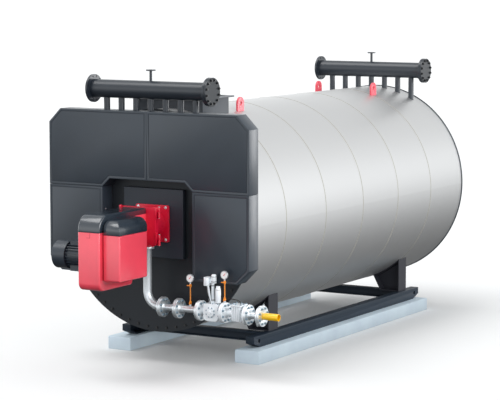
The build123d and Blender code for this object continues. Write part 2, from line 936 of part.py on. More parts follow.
def gas_bore(start_x, end_x):
    disc(
        facing_right(start_x, gas_y, gas_z), gas_radius - gas_wall, end_x - start_x, Mode.SUBTRACT
    )


def build_spool(start_x, end_x):
    with BuildPart() as spool:
        disc(facing_right(start_x, gas_y, gas_z), gas_radius, end_x - start_x)
        gas_flange(start_x, 1)
        gas_flange(end_x, -1)
        gas_bore(start_x, end_x)
    return spool


with BuildPart() as gas_down_pipe:
    with BuildLine() as down_route:
        Polyline((inlet_x, gas_y, inlet_joint_z), (inlet_x, gas_y, gas_z + gas_bend_radius))
        ThreePointArc(
            (inlet_x, gas_y, gas_z + gas_bend_radius),
            (
                inlet_x + gas_bend_radius * (1 - sqrt(0.5)),
                gas_y,
                gas_z + gas_bend_radius * (1 - sqrt(0.5)),
            ),
            (inlet_x + gas_bend_radius, gas_y, gas_z),
        )
    with BuildSketch(facing_up(inlet_x, gas_y, inlet_joint_z)) as pipe_section:
        Circle(inlet_radius)
    sweep(sections=pipe_section.sketch, path=down_route.wires()[0])
    disc(facing_right(inlet_x + gas_bend_radius, gas_y, gas_z), gas_hub_radius, bend_to_joint)
    disc(facing_right(joint_1_x - gas_flange_t, gas_y, gas_z), gas_flange_radius, gas_flange_t)
    disc(
        facing_up(inlet_x, gas_y, inlet_joint_z - inlet_flange_t), inlet_flange_radius, inlet_flange_t
    )
write(gas_down_pipe.part, "gas_down_pipe")

write(build_spool(joint_1_x, joint_2_x).part, "gas_spool_1")
write(build_spool(joint_2_x, joint_3_x).part, "gas_spool_2")

# The inlet spool keeps the loose flange that the yellow pipe is welded to
with BuildPart() as end_flange:
    disc(facing_right(joint_6_x, gas_y, gas_z), gas_flange_radius, gas_flange_t)
    gas_bore(joint_6_x, joint_6_x + gas_flange_t)
inlet_spool = build_spool(joint_5_x, joint_6_x)
write(Compound([inlet_spool.part.solid(), end_flange.part.solid()]), "gas_inlet_spool")

with BuildPart() as gas_valve:
    disc(facing_right(joint_3_x, gas_y, gas_z), gas_radius, joint_4_x - joint_3_x)
    gas_flange(joint_3_x, 1)
    gas_flange(joint_4_x, -1)
    with BuildSketch(facing_front(valve_x, gas_y + valve_half_depth, gas_z)) as valve_body:
        with Locations((0, (valve_above_pipe - valve_below_pipe) / 2)):
            Rectangle(2 * valve_half_width, valve_below_pipe + valve_above_pipe)
        chamfer(valve_body.vertices().group_by(Axis.Y)[0], length=valve_flank)
        fillet(valve_body.vertices().group_by(Axis.Y)[-1], radius=block_corner)
    extrude(valve_body.sketch, amount=2 * valve_half_depth)
    base_half_depth = valve_half_depth - valve_base_inset
    base_half_width = valve_half_width - valve_flank - valve_base_inset / 2
    with BuildSketch(facing_up(valve_x, gas_y, gas_z - valve_below_pipe - valve_base_t)) as base:
        RectangleRounded(2 * base_half_width, 2 * base_half_depth, block_corner)
    extrude(base.sketch, amount=valve_base_t)
write(gas_valve.part, "gas_valve")

with BuildPart() as valve_actuator:
    disc(facing_up(actuator_x, gas_y, valve_top), stem_collar_radius, stem_collar_t)
    disc(facing_up(actuator_x, gas_y, valve_top), stem_radius, cap_bottom)
    cap_x = actuator_x + cap_offset
    disc(facing_up(cap_x, gas_y, valve_top + cap_bottom), cap_radius, cap_height)
    fillet(valve_actuator.faces().sort_by(Axis.Z)[-1].edges(), radius=cap_dome)
    with BuildSketch(facing_up(gland_box_x, gas_y - gland_box_forward, box_bottom)) as gland_box:
        RectangleRounded(gland_box_width, gland_box_depth, gland_box_corner)
    extrude(gland_box.sketch, amount=gland_box_height)
    bridge_length = cap_x - gland_box_x
    with BuildSketch(
        facing_up((cap_x + gland_box_x) / 2, gas_y, valve_top + cap_bottom)
    ) as bridge:
        Rectangle(bridge_length, cap_radius)
    extrude(bridge.sketch, amount=gland_box_bottom + gland_box_height - cap_bottom - cap_dome)
    conduit_y = gas_y - conduit_forward
    conduit_x = gland_box_x + conduit_from_box
    with BuildLine() as conduit_route:
        Line(
            (conduit_x, conduit_y, box_bottom + conduit_radius),
            (conduit_x + conduit_lean, conduit_y, valve_top - conduit_radius),
        )
    with BuildSketch(Plane(conduit_route.line @ 0, z_dir=conduit_route.line % 0)) as conduit:
        Circle(conduit_radius)
    sweep(sections=conduit.sketch, path=conduit_route.wires()[0])
    split(bisect_by=Plane.XY.offset(valve_top), keep=Keep.TOP)
write(valve_actuator.part, "valve_actuator")

with BuildPart() as valve_damper:
    disc(facing_up(damper_x, damper_y, valve_top), damper_radius, damper_height)
    disc(
        facing_up(damper_x, damper_y, valve_top + damper_height),
        damper_top_radius,
        damper_top_height,
    )
write(valve_damper.part, "valve_damper")

with BuildPart() as gas_filter:
    disc(facing_right(joint_4_x, gas_y, gas_z), gas_radius, joint_5_x - joint_4_x)
    gas_flange(joint_4_x, 1)
    gas_flange(joint_5_x, -1)
    with BuildSketch(facing_up(filter_x, gas_y, gas_z - filter_below_pipe)) as filter_body:
        RectangleRounded(2 * filter_half_width, 2 * filter_half_width, block_corner)
    extrude(filter_body.sketch, amount=filter_below_pipe + filter_above_pipe)
    with BuildSketch(facing_up(filter_x, gas_y, filter_top)) as filter_cover:
        RectangleRounded(2 * filter_cover_half_width, 2 * filter_cover_half_width, block_corner)
    extrude(filter_cover.sketch, amount=filter_cover_t)
write(gas_filter.part, "gas_filter")

with BuildPart() as gas_inlet_pipe:
    pipe_x = joint_6_x + gas_flange_t
    disc(facing_right(pipe_x, gas_y, gas_z), gas_radius, gas_end_x - pipe_x)
    gas_bore(pipe_x, gas_end_x)
write(gas_inlet_pipe.part, "gas_inlet_pipe")


# Pressure gauges: boss, stem between two cocks, and a dial that faces the front
def build_gauge(x, foot_z, dial_z):
    upper_cock_z = dial_z - upper_cock_drop
    with BuildPart() as gauge:
        disc(facing_up(x, gas_y, foot_z), gauge_stem_radius, dial_z - foot_z)
        disc(facing_up(x, gas_y, foot_z), gauge_boss_radius, gauge_boss_height)
        for cock_z in (foot_z + lower_cock_rise, upper_cock_z):
            disc(facing_front(x, gas_y + cock_length / 2, cock_z), cock_radius, cock_length)
        with BuildSketch(facing_front(x, gas_y - cock_length / 2, upper_cock_z)) as lever:
            with Locations(((cock_lever_width - cock_lever) / 2, 0)):
                SlotOverall(cock_lever, cock_lever_width)
        extrude(lever.sketch, amount=cock_lever_t)
        disc(facing_front(x, gas_y + dial_t / 2, dial_z), dial_radius, dial_t)
    return gauge


gauge_1_foot_z = gas_z + gas_radius + skin_clearance
gauge_2_foot_z = gas_z + gas_flange_radius + skin_clearance
write(build_gauge(gauge_1_x, gauge_1_foot_z, gas_z + gauge_1_height).part, "pressure_gauge_1")
write(build_gauge(gauge_2_x, gauge_2_foot_z, gas_z + gauge_2_height).part, "pressure_gauge_2")


# Leads from the gland box, held at both ends: one to the filter cover, one to the valve
def route_points(start, end, turns):
    """Start, the turns between, and end, each turn at its share of the way and of the height."""
    between = [
        Vector(
            start.X + way * (end.X - start.X),
            start.Y,
            end.Z + height * (start.Z - end.Z),
        )
        for way, height in turns
    ]
    return [start, *between, end]


def bend_radii(points):
    """The largest arc at each turn that leaves a straight piece between it and the next."""
    radii = []
    for before, corner, after in zip(points, points[1:], points[2:]):
        turn = radians((corner - before).get_angle(after - corner))
        shorter = min((corner - before).length, (after - corner).length)
        radii.append(bend_share * shorter / tan(turn / 2))
    return radii


def build_lead(points):
    radii = bend_radii(points)
    print("bend radii", [round(radius) for radius in radii])
    with BuildPart() as lead:
        with BuildLine() as route:
            FilletPolyline(*points, radius=radii)
        with BuildSketch(facing_up(*points[0])) as section:
            Circle(lead_radius)
        sweep(sections=section.sketch, path=route.wires()[0])
    return lead


filter_lead_points = route_points(
    Vector(gland_box_x + filter_lead_from_box, filter_lead_y, box_bottom),
    Vector(filter_x + filter_lead_on_cover, filter_lead_y, filter_top + filter_cover_t),
    filter_lead_turns,
)
valve_lead_start_x = gland_box_x + valve_lead_from_box
valve_lead_points = route_points(
    Vector(valve_lead_start_x, valve_lead_y, box_bottom),
    Vector(valve_lead_start_x + valve_lead_lean, valve_lead_y, valve_top),
    valve_lead_turns,
)
write(build_lead(filter_lead_points).part, "actuator_lead")
write(build_lead(valve_lead_points).part, "valve_lead")
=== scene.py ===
# %% [markdown]
# A thermal oil heater, shown as in a catalogue: a long clad vessel on a skid, a slate casing
# at the burner end, a red burner that swings on a hinge, and a silver gas train beside it.
# The metal frame comes finished from the CAD model.  This lesson gives every surface its
# finish and adds what is too fine for CAD: rounded edges, bolts, seams, dials and leads.

# %% Load the frame
import bmesh
import bpy
import json
from math import cos, degrees, pi, radians, sin, tau
from mathutils import Matrix, Vector

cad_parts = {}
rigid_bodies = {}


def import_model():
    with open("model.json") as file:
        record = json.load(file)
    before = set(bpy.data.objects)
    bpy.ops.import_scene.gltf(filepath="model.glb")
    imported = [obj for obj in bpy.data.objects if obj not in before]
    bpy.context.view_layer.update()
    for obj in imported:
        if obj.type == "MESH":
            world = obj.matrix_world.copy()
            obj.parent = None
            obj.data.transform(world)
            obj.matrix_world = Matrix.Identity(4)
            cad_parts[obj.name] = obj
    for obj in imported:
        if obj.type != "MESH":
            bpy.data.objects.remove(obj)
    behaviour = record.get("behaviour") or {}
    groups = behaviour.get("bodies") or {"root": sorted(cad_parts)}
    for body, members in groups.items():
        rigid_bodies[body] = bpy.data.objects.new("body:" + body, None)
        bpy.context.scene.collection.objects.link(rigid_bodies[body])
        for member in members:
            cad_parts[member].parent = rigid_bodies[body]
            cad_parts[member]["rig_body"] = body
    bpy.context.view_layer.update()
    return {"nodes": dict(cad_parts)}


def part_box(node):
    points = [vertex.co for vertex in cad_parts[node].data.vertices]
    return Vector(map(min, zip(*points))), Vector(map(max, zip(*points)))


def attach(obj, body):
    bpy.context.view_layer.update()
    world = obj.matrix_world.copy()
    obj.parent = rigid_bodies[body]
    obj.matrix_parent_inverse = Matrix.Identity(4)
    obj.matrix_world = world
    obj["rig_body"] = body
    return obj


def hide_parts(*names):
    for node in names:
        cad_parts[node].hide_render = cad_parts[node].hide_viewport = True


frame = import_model()
MM = 0.001

# %% [markdown]
# The camera stands in front of the burner end, to the right and a little above, with a long
# lens, so the vessel hardly tapers.  Its place was worked out from the edges of the casing.

# %% Camera
view_place = (13.216, -23.0927, 4.805)
view_turn = (radians(83.546), 0, radians(30.228))
view_lens_mm = 149.1
view_sensor_mm = 36

camera_data = bpy.data.cameras.new("camera")
camera_data.lens = view_lens_mm
camera_data.sensor_width = view_sensor_mm
camera = bpy.data.objects.new("camera", camera_data)
camera.location = view_place
camera.rotation_euler = view_turn
bpy.context.scene.collection.objects.link(camera)
bpy.context.scene.camera = camera
bpy.context.scene.view_settings.view_transform = "Standard"
print("camera", tuple(round(v, 2) for v in camera.location))

# %% [markdown]
# Places are read from the frame wherever they can be, so a bolt or a seam sits on the piece
# that carries it.  Where a small piece stands off from there by a step of its own, the step is
# named beside it.  These lines find the vessel axis, the gas pipe axis and the flange joints.

# %% Places read from the frame
def low(node):
    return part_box(node)[0]


def high(node):
    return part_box(node)[1]


def middle(node):
    return (low(node) + high(node)) / 2


vessel = middle("cladding_rings")
shell_radius = (high("cladding_rings").x - low("cladding_rings").x) / 2
gas_axis = middle("gas_spool_1")
gas_flange_t = 24 * MM
joint_xs = [
    low("gas_spool_1").x,
    low("gas_spool_2").x,
    high("gas_spool_2").x,
    high("gas_valve").x,
    high("gas_filter").x,
    high("gas_inlet_spool").x - gas_flange_t,
]

# %% [markdown]
# Colours are written as the sRGB hex values that a paint chart gives, and turned to the
# linear values that the shader works in by one function.  Node trees are built with one
# small function too: it adds a node, sets its properties, and fills or links its inputs.

# %% Helpers for materials
def linear(hex_code):
    """The linear colour, with alpha, of an sRGB hex code."""
    values = [int(hex_code[i:i + 2], 16) / 255 for i in (1, 3, 5)]
    return (*[v / 12.92 if v <= 0.04045 else ((v + 0.055) / 1.055) ** 2.4 for v in values], 1)


def shaded(hex_code, share):
    """The same colour with its light multiplied by a share."""
    return (*[min(1, v * share) for v in linear(hex_code)[:3]], 1)


def add_node(tree, kind, inputs, **settings):
    """Add a node, set its properties, then fill or link the inputs that are named."""
    node = tree.nodes.new(kind)
    for name, value in settings.items():
        setattr(node, name, value)
    for name, value in inputs.items():
        if isinstance(value, bpy.types.NodeSocket):
            tree.links.new(value, node.inputs[name])
        else:
            node.inputs[name].default_value = value
    return node


def new_material(name, **surface):
    """A material with one Principled shader, whose plain values are given by name."""
    material = bpy.data.materials.new(name)
    material.use_nodes = True
    shader = material.node_tree.nodes["Principled BSDF"]
    for socket, value in surface.items():
        shader.inputs[socket.replace("_", " ")].default_value = value
    return material, material.node_tree, shader


def join_surface(tree, shader, colour, gloss, bump):
    """Link the colour, the roughness and the bump of a surface to its shader."""
    tree.links.new(colour, shader.inputs["Base Color"])
    tree.links.new(gloss.outputs["Result"], shader.inputs["Roughness"])
    tree.links.new(bump.outputs["Normal"], shader.inputs["Normal"])


def grain_scale(size_mm):
    """The noise scale that gives features of a size in millimetres on a model in metres."""
    return 1 / (size_mm * MM)


print("mid grey #808080 is", round(linear("#808080")[0], 3), "in linear light")

# %% [markdown]
# Most of the heater is sheet steel under sprayed paint.  Sprayed paint is never quite flat:
# it has a fine orange peel, and the film is a little thicker and glossier in some places.
# One noise could do both, but two of different sizes keep the film's clouds apart from the
# peel.  The peel is really 2 mm across, too fine for this picture, so it is drawn coarser.

# %% Sprayed paint
film_spread = 0.08
cloud_edges = (0.3, 0.7)
gloss_spread = 0.15
coat_share = 0.6
peel_depth = 0.4 * MM


def sprayed_paint(
    name, colour, roughness, coat, shine=0.5, peel_mm=14, cloud_mm=420, peel_height=0.12
):
    """Paint sprayed on steel: orange peel, faint clouds in the film, and a soft gloss."""
    material, tree, shader = new_material(
        name,
        IOR=1.5,
        Specular_IOR_Level=shine,
        Coat_Weight=coat,
        Coat_Roughness=roughness * coat_share,
    )
    place = add_node(tree, "ShaderNodeTexCoord", {}).outputs["Object"]
    clouds = add_node(
        tree, "ShaderNodeTexNoise", {"Vector": place, "Scale": grain_scale(cloud_mm), "Detail": 3}
    ).outputs["Fac"]
    peel = add_node(
        tree, "ShaderNodeTexNoise", {"Vector": place, "Scale": grain_scale(peel_mm), "Detail": 2}
    ).outputs["Fac"]
    tint = add_node(tree, "ShaderNodeValToRGB", {"Fac": clouds})
    spread = (1 - film_spread, 1 + film_spread)
    for stop, edge, light in zip(tint.color_ramp.elements, cloud_edges, spread):
        stop.color = shaded(colour, light)
        stop.position = edge
    dull, bright = roughness * (1 + gloss_spread), roughness * (1 - gloss_spread)
    gloss = add_node(
        tree, "ShaderNodeMapRange", {"Value": clouds, "To Min": bright, "To Max": dull}
    )
    bump = add_node(
        tree,
        "ShaderNodeBump",
        {"Height": peel, "Strength": peel_height, "Distance": peel_depth},
    )
    join_surface(tree, shader, tint.outputs["Color"], gloss, bump)
    return material


print("sprayed paint ready")

# %% [markdown]
# Each paint on the heater is one call, given its colour, its roughness and the weight of the
# clear coat.  They start from the values of the real paint and were then matched.

# %% Paints of the vessel and its frame
# Stove enamel on folded sheet: an even slate grey that pales at a grazing angle
slate_enamel = sprayed_paint("slate_enamel_on_sheet", "#2C353F", 0.42, 0.3)

# Enamel on rolled plate, flatter than the casing before it; its darker colour is painted shade of
# the deep arch
arch_shade_plate_enamel = sprayed_paint("slate_enamel_with_painted_arch_shade", "#1D2228", 0.5, 0.1, shine=0.3)

# The same enamel on the door, a shade lighter than the plate's painted shade, so its outline shows
# against the plate
door_enamel = sprayed_paint("slate_enamel_on_door", "#29303A", 0.48, 0.15, shine=0.35)

# Enamel on pipe: a soft light band along the top of each header
header_enamel = sprayed_paint("dark_slate_enamel_on_pipe", "#232A33", 0.36, 0.3)

# Primer and enamel brushed on rolled channel: blue black, with hardly any shine
skid_enamel = sprayed_paint("blue_black_enamel_on_channel", "#1C2733", 0.5, 0.0, shine=0.25)

# The legs are painted apart from the skid, and are a warmer black
saddle_enamel = sprayed_paint("warm_black_enamel_on_leg", "#26272E", 0.55, 0.0, shine=0.25)

# Thinner sheet with a paler coat: the duct reads as a separate box
duct_enamel = sprayed_paint("slate_enamel_on_duct", "#3C4148", 0.45, 0.3)

# Signal paint on the lifting lugs, meant to be seen from far off
lug_enamel = sprayed_paint("signal_red_enamel_on_lug", "#E2495A", 0.4, 0.4)

# Masonry paint rolled on concrete: chalky, pale blue and a little rough
plinth_paint = sprayed_paint(
    "pale_blue_masonry_paint", "#DDEDFB", 0.7, 0.0, peel_mm=9, peel_height=0.5
)
print("vessel and frame paints made")

# %% [markdown]
# The small parts are meant to be told apart by colour: red for the burner, yellow for gas,
# orange for the cocks, and silver for the castings of the gas train.

# %% Paints of the burner and the gas train
# Full gloss stove enamel, its red lifted toward pink as painted sheen: pinker still where it
# mirrors the sweep, deep red in the shade
burner_enamel_with_painted_sheen = sprayed_paint("red_stove_enamel_with_painted_sheen", "#F2465A", 0.34, 1.0)

# Red enamel on machined plate: a deeper and harder red than the housings
plate_enamel = sprayed_paint("deep_red_enamel_on_plate", "#D40C34", 0.38, 0.4)

# Yellow marks a gas pipe: bright, with a hard highlight along the top
yellow_paint = sprayed_paint("yellow_pipe_enamel", "#FFC400", 0.3, 0.5)

# Lacquer over brass: a warm orange with a tight highlight
orange_paint = sprayed_paint("orange_lacquered_brass", "#EE8C0C", 0.3, 0.6)

# Enamel on a sand casting: its rough skin, drawn coarser here, shows through the coat
motor_paint = sprayed_paint(
    "blue_grey_enamel_on_cast_iron", "#26303B", 0.4, 0.4, peel_mm=7, peel_height=0.4
)

# Aluminium paint on cast iron: almost white in the light, cool grey in the shade
silver_enamel = sprayed_paint("silver_valve_enamel", "#E9EFF4", 0.32, 0.8, peel_mm=8)

# Black oxide is a thin film on steel: a dull black with a faint glint on the edges
black_bolt = sprayed_paint("black_oxide_on_bolt", "#101216", 0.4, 0.2)

# White enamel on the tin of a dial: clean white with a slight gloss
white_dial = sprayed_paint("white_printed_dial", "#F7F8F8", 0.5, 0.3, peel_height=0.02)

# Lacquer on a thin needle: a small clear red, the one colour on the dial
red_needle = sprayed_paint("red_needle_lacquer", "#D42030", 0.4, 0.2)

# Screen print on the dial: flat black marks without any shine
black_print = sprayed_paint("black_print_on_dial", "#22252A", 0.6, 0.0, peel_height=0.02)

# Dried sealant: matt beige, darker than the sheet in the light and paler in the shade
seam_sealant = sprayed_paint("beige_seam_sealant", "#9A968C", 0.6, 0.0)

# The hook-shaped line lies in its own shade, so it is drawn in a duller red
hook_red = sprayed_paint("shadowed_red_enamel", "#B81030", 0.5, 0.0)
print("burner and gas train paints made")

# %% [markdown]
# The hoods over the fan and the air box are glossy black moulded ABS.  Moulded plastic is
# even in colour, with slight flow marks that only show in its reflections.  Paint's recipe
# would do, but its orange peel is what plastic hasn't got, so it has a recipe of its own.
# The grain of the mould is really under 1 mm and is drawn coarser.

# %% Moulded black plastic
flow_mark_mm = 260
mould_grain_mm = 9
mould_grain_depth = 0.2 * MM
flow_spread = 0.12


def moulded_plastic(name, colour, roughness, coat):
    """Moulded plastic or rubber, with faint flow marks in its colour and gloss."""
    material, tree, shader = new_material(name, IOR=1.52, Coat_Weight=coat, Coat_Roughness=0.16)
    place = add_node(tree, "ShaderNodeTexCoord", {}).outputs["Object"]
    flow_scale, fine_scale = grain_scale(flow_mark_mm), grain_scale(mould_grain_mm)
    flow = add_node(
        tree, "ShaderNodeTexNoise", {"Vector": place, "Scale": flow_scale, "Detail": 2}
    ).outputs["Fac"]
    grain = add_node(
        tree, "ShaderNodeTexNoise", {"Vector": place, "Scale": fine_scale, "Detail": 1}
    ).outputs["Fac"]
    tint = add_node(tree, "ShaderNodeValToRGB", {"Fac": flow})
    tint.color_ramp.elements[0].color = shaded(colour, 1 - flow_spread)
    tint.color_ramp.elements[1].color = shaded(colour, 1 + flow_spread)
    dull, bright = roughness * (1 + gloss_spread), roughness * (1 - gloss_spread)
    gloss = add_node(tree, "ShaderNodeMapRange", {"Value": flow, "To Min": bright, "To Max": dull})
    bump = add_node(
        tree,
        "ShaderNodeBump",
        {"Height": grain, "Strength": 0.04, "Distance": mould_grain_depth},
    )
    join_surface(tree, shader, tint.outputs["Color"], gloss, bump)
    return material


# Moulded ABS: a blue black that mirrors the sweep in soft bands
black_hood = moulded_plastic("black_abs_hood", "#2A333D", 0.26, 1.0)

# Extruded rubber: black without a highlight
lead_rubber = moulded_plastic("black_rubber_sheath", "#0B0C0E", 0.5, 0.0)
print("plastics made")

# %% [markdown]
# The cladding is satin stainless sheet rolled round the insulation.  The mill leaves a fine
# grain along the rolling direction, which here runs round the vessel, and each sheet is a
# shade lighter or darker than the next.  An anisotropic gloss would draw that grain out of
# nothing, but a stretched noise also gives the faint lines themselves.  The grain is really
# under 1 mm wide and is drawn coarser.

# %% Satin cladding sheet
grain_length_mm = 667
grain_width_mm = 3.85
grain_depth = 0.3 * MM
sheet_spread = 0.03
grain_spread = 0.02
grain_gloss_step = 0.05


def satin_sheet(name, colour, roughness, sheet_length, first_edge):
    """Rolled stainless sheet: grain round the vessel and one tone for each sheet."""
    material, tree, shader = new_material(name, Metallic=0.85)
    place = add_node(tree, "ShaderNodeTexCoord", {}).outputs["Object"]
    along_grain, across_grain = grain_scale(grain_length_mm), grain_scale(grain_width_mm)
    stretched = add_node(
        tree,
        "ShaderNodeMapping",
        {"Vector": place, "Scale": (along_grain, across_grain, along_grain)},
    ).outputs["Vector"]
    grain = add_node(
        tree, "ShaderNodeTexNoise", {"Vector": stretched, "Scale": 1, "Detail": 4}
    ).outputs["Fac"]
    along = add_node(tree, "ShaderNodeSeparateXYZ", {"Vector": place}).outputs["Y"]
    past = add_node(
        tree, "ShaderNodeMath", {0: along, 1: first_edge}, operation="SUBTRACT"
    ).outputs[0]
    count = add_node(
        tree, "ShaderNodeMath", {0: past, 1: sheet_length}, operation="DIVIDE"
    ).outputs[0]
    number = add_node(tree, "ShaderNodeMath", {0: count}, operation="FLOOR").outputs[0]
    tone = add_node(
        tree, "ShaderNodeTexWhiteNoise", {"W": number}, noise_dimensions="1D"
    ).outputs["Value"]
    tint = add_node(tree, "ShaderNodeValToRGB", {"Fac": tone})
    tint.color_ramp.elements[0].color = shaded(colour, 1 - sheet_spread)
    tint.color_ramp.elements[1].color = shaded(colour, 1 + sheet_spread)
    line = add_node(
        tree,
        "ShaderNodeMapRange",
        {"Value": grain, "To Min": 1 - grain_spread, "To Max": 1 + grain_spread},
    )
    mixed = add_node(
        tree,
        "ShaderNodeVectorMath",
        {0: tint.outputs["Color"], "Scale": line.outputs["Result"]},
        operation="SCALE",
    )
    dull, bright = roughness + grain_gloss_step, roughness - grain_gloss_step
    gloss = add_node(
        tree, "ShaderNodeMapRange", {"Value": grain, "To Min": bright, "To Max": dull}
    )
    bump = add_node(
        tree, "ShaderNodeBump", {"Height": grain, "Strength": 0.06, "Distance": grain_depth}
    )
    join_surface(tree, shader, mixed.outputs["Vector"], gloss, bump)
    return material


# Satin stainless: a broad soft highlight that runs the length of the vessel
sheet_length = 1015 * MM
cladding = satin_sheet(
    "satin_stainless_cladding", "#D4D4D4", 0.42, sheet_length, high("cladding_rings").y
)
print("cladding sheets of", sheet_length, "m")

# %% [markdown]
# The pipes of the gas train are galvanised steel.  Zinc freezes into flat crystals, the
# spangle, some 10 mm across, each a touch brighter or duller than the next.  A noise would
# blur them together, so a pattern of cells is used.  Plated bolts and turned steel are even:
# the same recipe gets smaller and fainter cells, still coarser than real so that they show.

# %% Zinc and bare metal
skin_depth = 0.2 * MM
crystal_gloss_spread = 0.08


def bare_metal(name, colour, roughness, crystal_mm, contrast, metallic=0.7):
    """Metal whose surface is made of crystals of one size, which differ in tone and gloss."""
    material, tree, shader = new_material(name, Metallic=metallic)
    place = add_node(tree, "ShaderNodeTexCoord", {}).outputs["Object"]
    crystals = add_node(
        tree, "ShaderNodeTexVoronoi", {"Vector": place, "Scale": grain_scale(crystal_mm)}
    ).outputs["Color"]
    flake = add_node(tree, "ShaderNodeSeparateColor", {"Color": crystals}).outputs["Red"]
    soft = add_node(
        tree, "ShaderNodeTexNoise", {"Vector": place, "Scale": grain_scale(crystal_mm * 3)}
    ).outputs["Fac"]
    tint = add_node(tree, "ShaderNodeValToRGB", {"Fac": flake})
    tint.color_ramp.elements[0].color = shaded(colour, 1 - contrast)
    tint.color_ramp.elements[1].color = shaded(colour, 1 + contrast)
    spread = roughness * crystal_gloss_spread
    gloss = add_node(
        tree,
        "ShaderNodeMapRange",
        {"Value": flake, "To Min": roughness - spread, "To Max": roughness + spread},
    )
    bump = add_node(
        tree, "ShaderNodeBump", {"Height": soft, "Strength": 0.08, "Distance": skin_depth}
    )
    join_surface(tree, shader, tint.outputs["Color"], gloss, bump)
    return material


# Hot-dipped zinc: silver with a faint patchwork of crystals
galvanised = bare_metal("hot_dip_galvanised_steel", "#E6ECF0", 0.34, 12, 0.04)

# Zinc plate over turned steel: bright, even and nearly white
bright_zinc = bare_metal("bright_zinc_plate", "#E6EDF0", 0.25, 4, 0.02)

# Blue passivated zinc: darker than the flange, so each bolt shows as a cool dot
blued_zinc = bare_metal("blue_passivated_zinc", "#8FA3B0", 0.35, 4, 0.02)

# Turned steel: mid grey with a tight highlight
steel = bare_metal("turned_steel", "#B9BDC2", 0.28, 3, 0.03)
print("metals made")

# %% [markdown]
# Each CAD node keeps its shape and gets its finish through its material slot.  The table is
# written the way a paint shop plans its work: one finish, and all that is done in it.

# %% Finishes on the CAD nodes
finishes = {
    slate_enamel: [
        "casing_upper_left", "casing_upper_right", "casing_lower_left", "casing_lower_right",
        "rear_plate", "rear_cover",
    ],
    # The front plate's darker enamel is painted shade of the arch
    arch_shade_plate_enamel: ["front_plate"],
    door_enamel: ["burner_door"],
    header_enamel: [
        "header_front", "header_rear", "branches_front", "branches_rear",
        "blind_flange_front", "blind_flange_rear",
    ],
    skid_enamel: ["skid_rail_left", "skid_rail_right", "cross_beams"],
    saddle_enamel: ["saddle_legs"],
    duct_enamel: ["flue_duct"],
    plate_enamel: ["burner_mount_plate", "burner_head", "swing_plate"],
    # The housings' red holds a painted pink sheen
    burner_enamel_with_painted_sheen: ["volute", "air_box"],
    black_hood: ["volute_cover", "air_box_cover"],
    motor_paint: ["motor", "motor_cowl"],
    galvanised: ["gas_down_pipe", "gas_spool_1", "gas_spool_2", "gas_inlet_spool"],
    silver_enamel: ["gas_valve", "gas_filter", "valve_actuator", "valve_damper"],
    yellow_paint: ["gas_inlet_pipe"],
    orange_paint: ["pressure_gauge_1", "pressure_gauge_2"],
    lug_enamel: ["lifting_lugs"],
    plinth_paint: ["plinths"],
    cladding: ["cladding_rings"],
    steel: ["hinge_pins"],
    lead_rubber: ["actuator_lead", "valve_lead"],
}
finish_of = {node: material for material, nodes in finishes.items() for node in nodes}
for node, material in finish_of.items():
    frame["nodes"][node].material_slots[0].material = material
print("finished", len(finish_of), "nodes")

# %% [markdown]
# Two black leads leave the box on the valve's actuator: one sags across to the filter, and
# one runs down to the valve.  A lead is a smooth curve, so each is a NURBS line through a few
# control points, given a round section.  Its points are the ones that set the CAD tube.

# %% Leads
lead_diameter = 10 * MM


def lay_lead(name, node, points):
    """A round lead on a smooth line, in the place of its CAD tube."""
    curve = bpy.data.curves.new(name, "CURVE")
    curve.dimensions = "3D"
    curve.bevel_depth = lead_diameter / 2
    curve.bevel_resolution = 3
    curve.resolution_u = 12
    curve.use_fill_caps = True
    curve.materials.append(lead_rubber)
    line = curve.splines.new("NURBS")
    line.points.add(len(points) - 1)
    for control, point in zip(line.points, points):
        control.co = (*point, 1)
    line.order_u = 3
    line.use_endpoint_u = True
    piece = bpy.data.objects.new(name, curve)
    bpy.context.scene.collection.objects.link(piece)
    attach(piece, "heater")
    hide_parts(node)
    return piece


lay_lead("filter_lead_line", "actuator_lead", [
    (0.6915, -2.5295, 1.0790),
    (0.6915, -2.5295, 1.0303),
    (0.7288, -2.5295, 0.9874),
    (0.7993, -2.5295, 0.9542),
    (0.8822, -2.5295, 0.9405),
    (0.9734, -2.5295, 0.9347),
    (1.0438, -2.5295, 0.9289),
    (1.1060, -2.5295, 0.9172),
    (1.1060, -2.5295, 0.8840),
])
lay_lead("valve_lead_line", "valve_lead", [
    (0.6965, -2.6195, 1.0790),
    (0.6965, -2.6195, 1.0410),
    (0.7075, -2.6195, 0.9988),
    (0.7225, -2.6195, 0.9566),
    (0.7385, -2.6195, 0.9186),
    (0.7465, -2.6195, 0.8891),
    (0.7465, -2.6195, 0.8680),
])
print("2 leads laid")

# %% [markdown]
# Folded sheet and flame-cut plate never have a knife edge.  A rounded edge of 2 to 7 mm
# catches a thin line of light, which is what makes a box look made of metal.  A Bevel modifier
# could do it too, but the CAD mesh is to be left alone, and its flat faces are cut into
# triangles: a copy is merged, its flat seams dissolved, and only its true edges bevelled.

# %% Pieces with eased edges
merge_distance = 0.01 * MM
sharp_angle = radians(28)
flat_angle = radians(0.4)
edge_steps = 2


def put_piece(name, mesh, material, body):
    """Turn a bmesh into a piece at the origin that rides on a body and has a finish slot."""
    data = bpy.data.meshes.new(name)
    mesh.to_mesh(data)
    mesh.free()
    data.materials.append(material)
    data.shade_smooth()
    data.set_sharp_from_angle(angle=sharp_angle)
    piece = bpy.data.objects.new(name, data)
    bpy.context.scene.collection.objects.link(piece)
    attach(piece, body)
    return piece


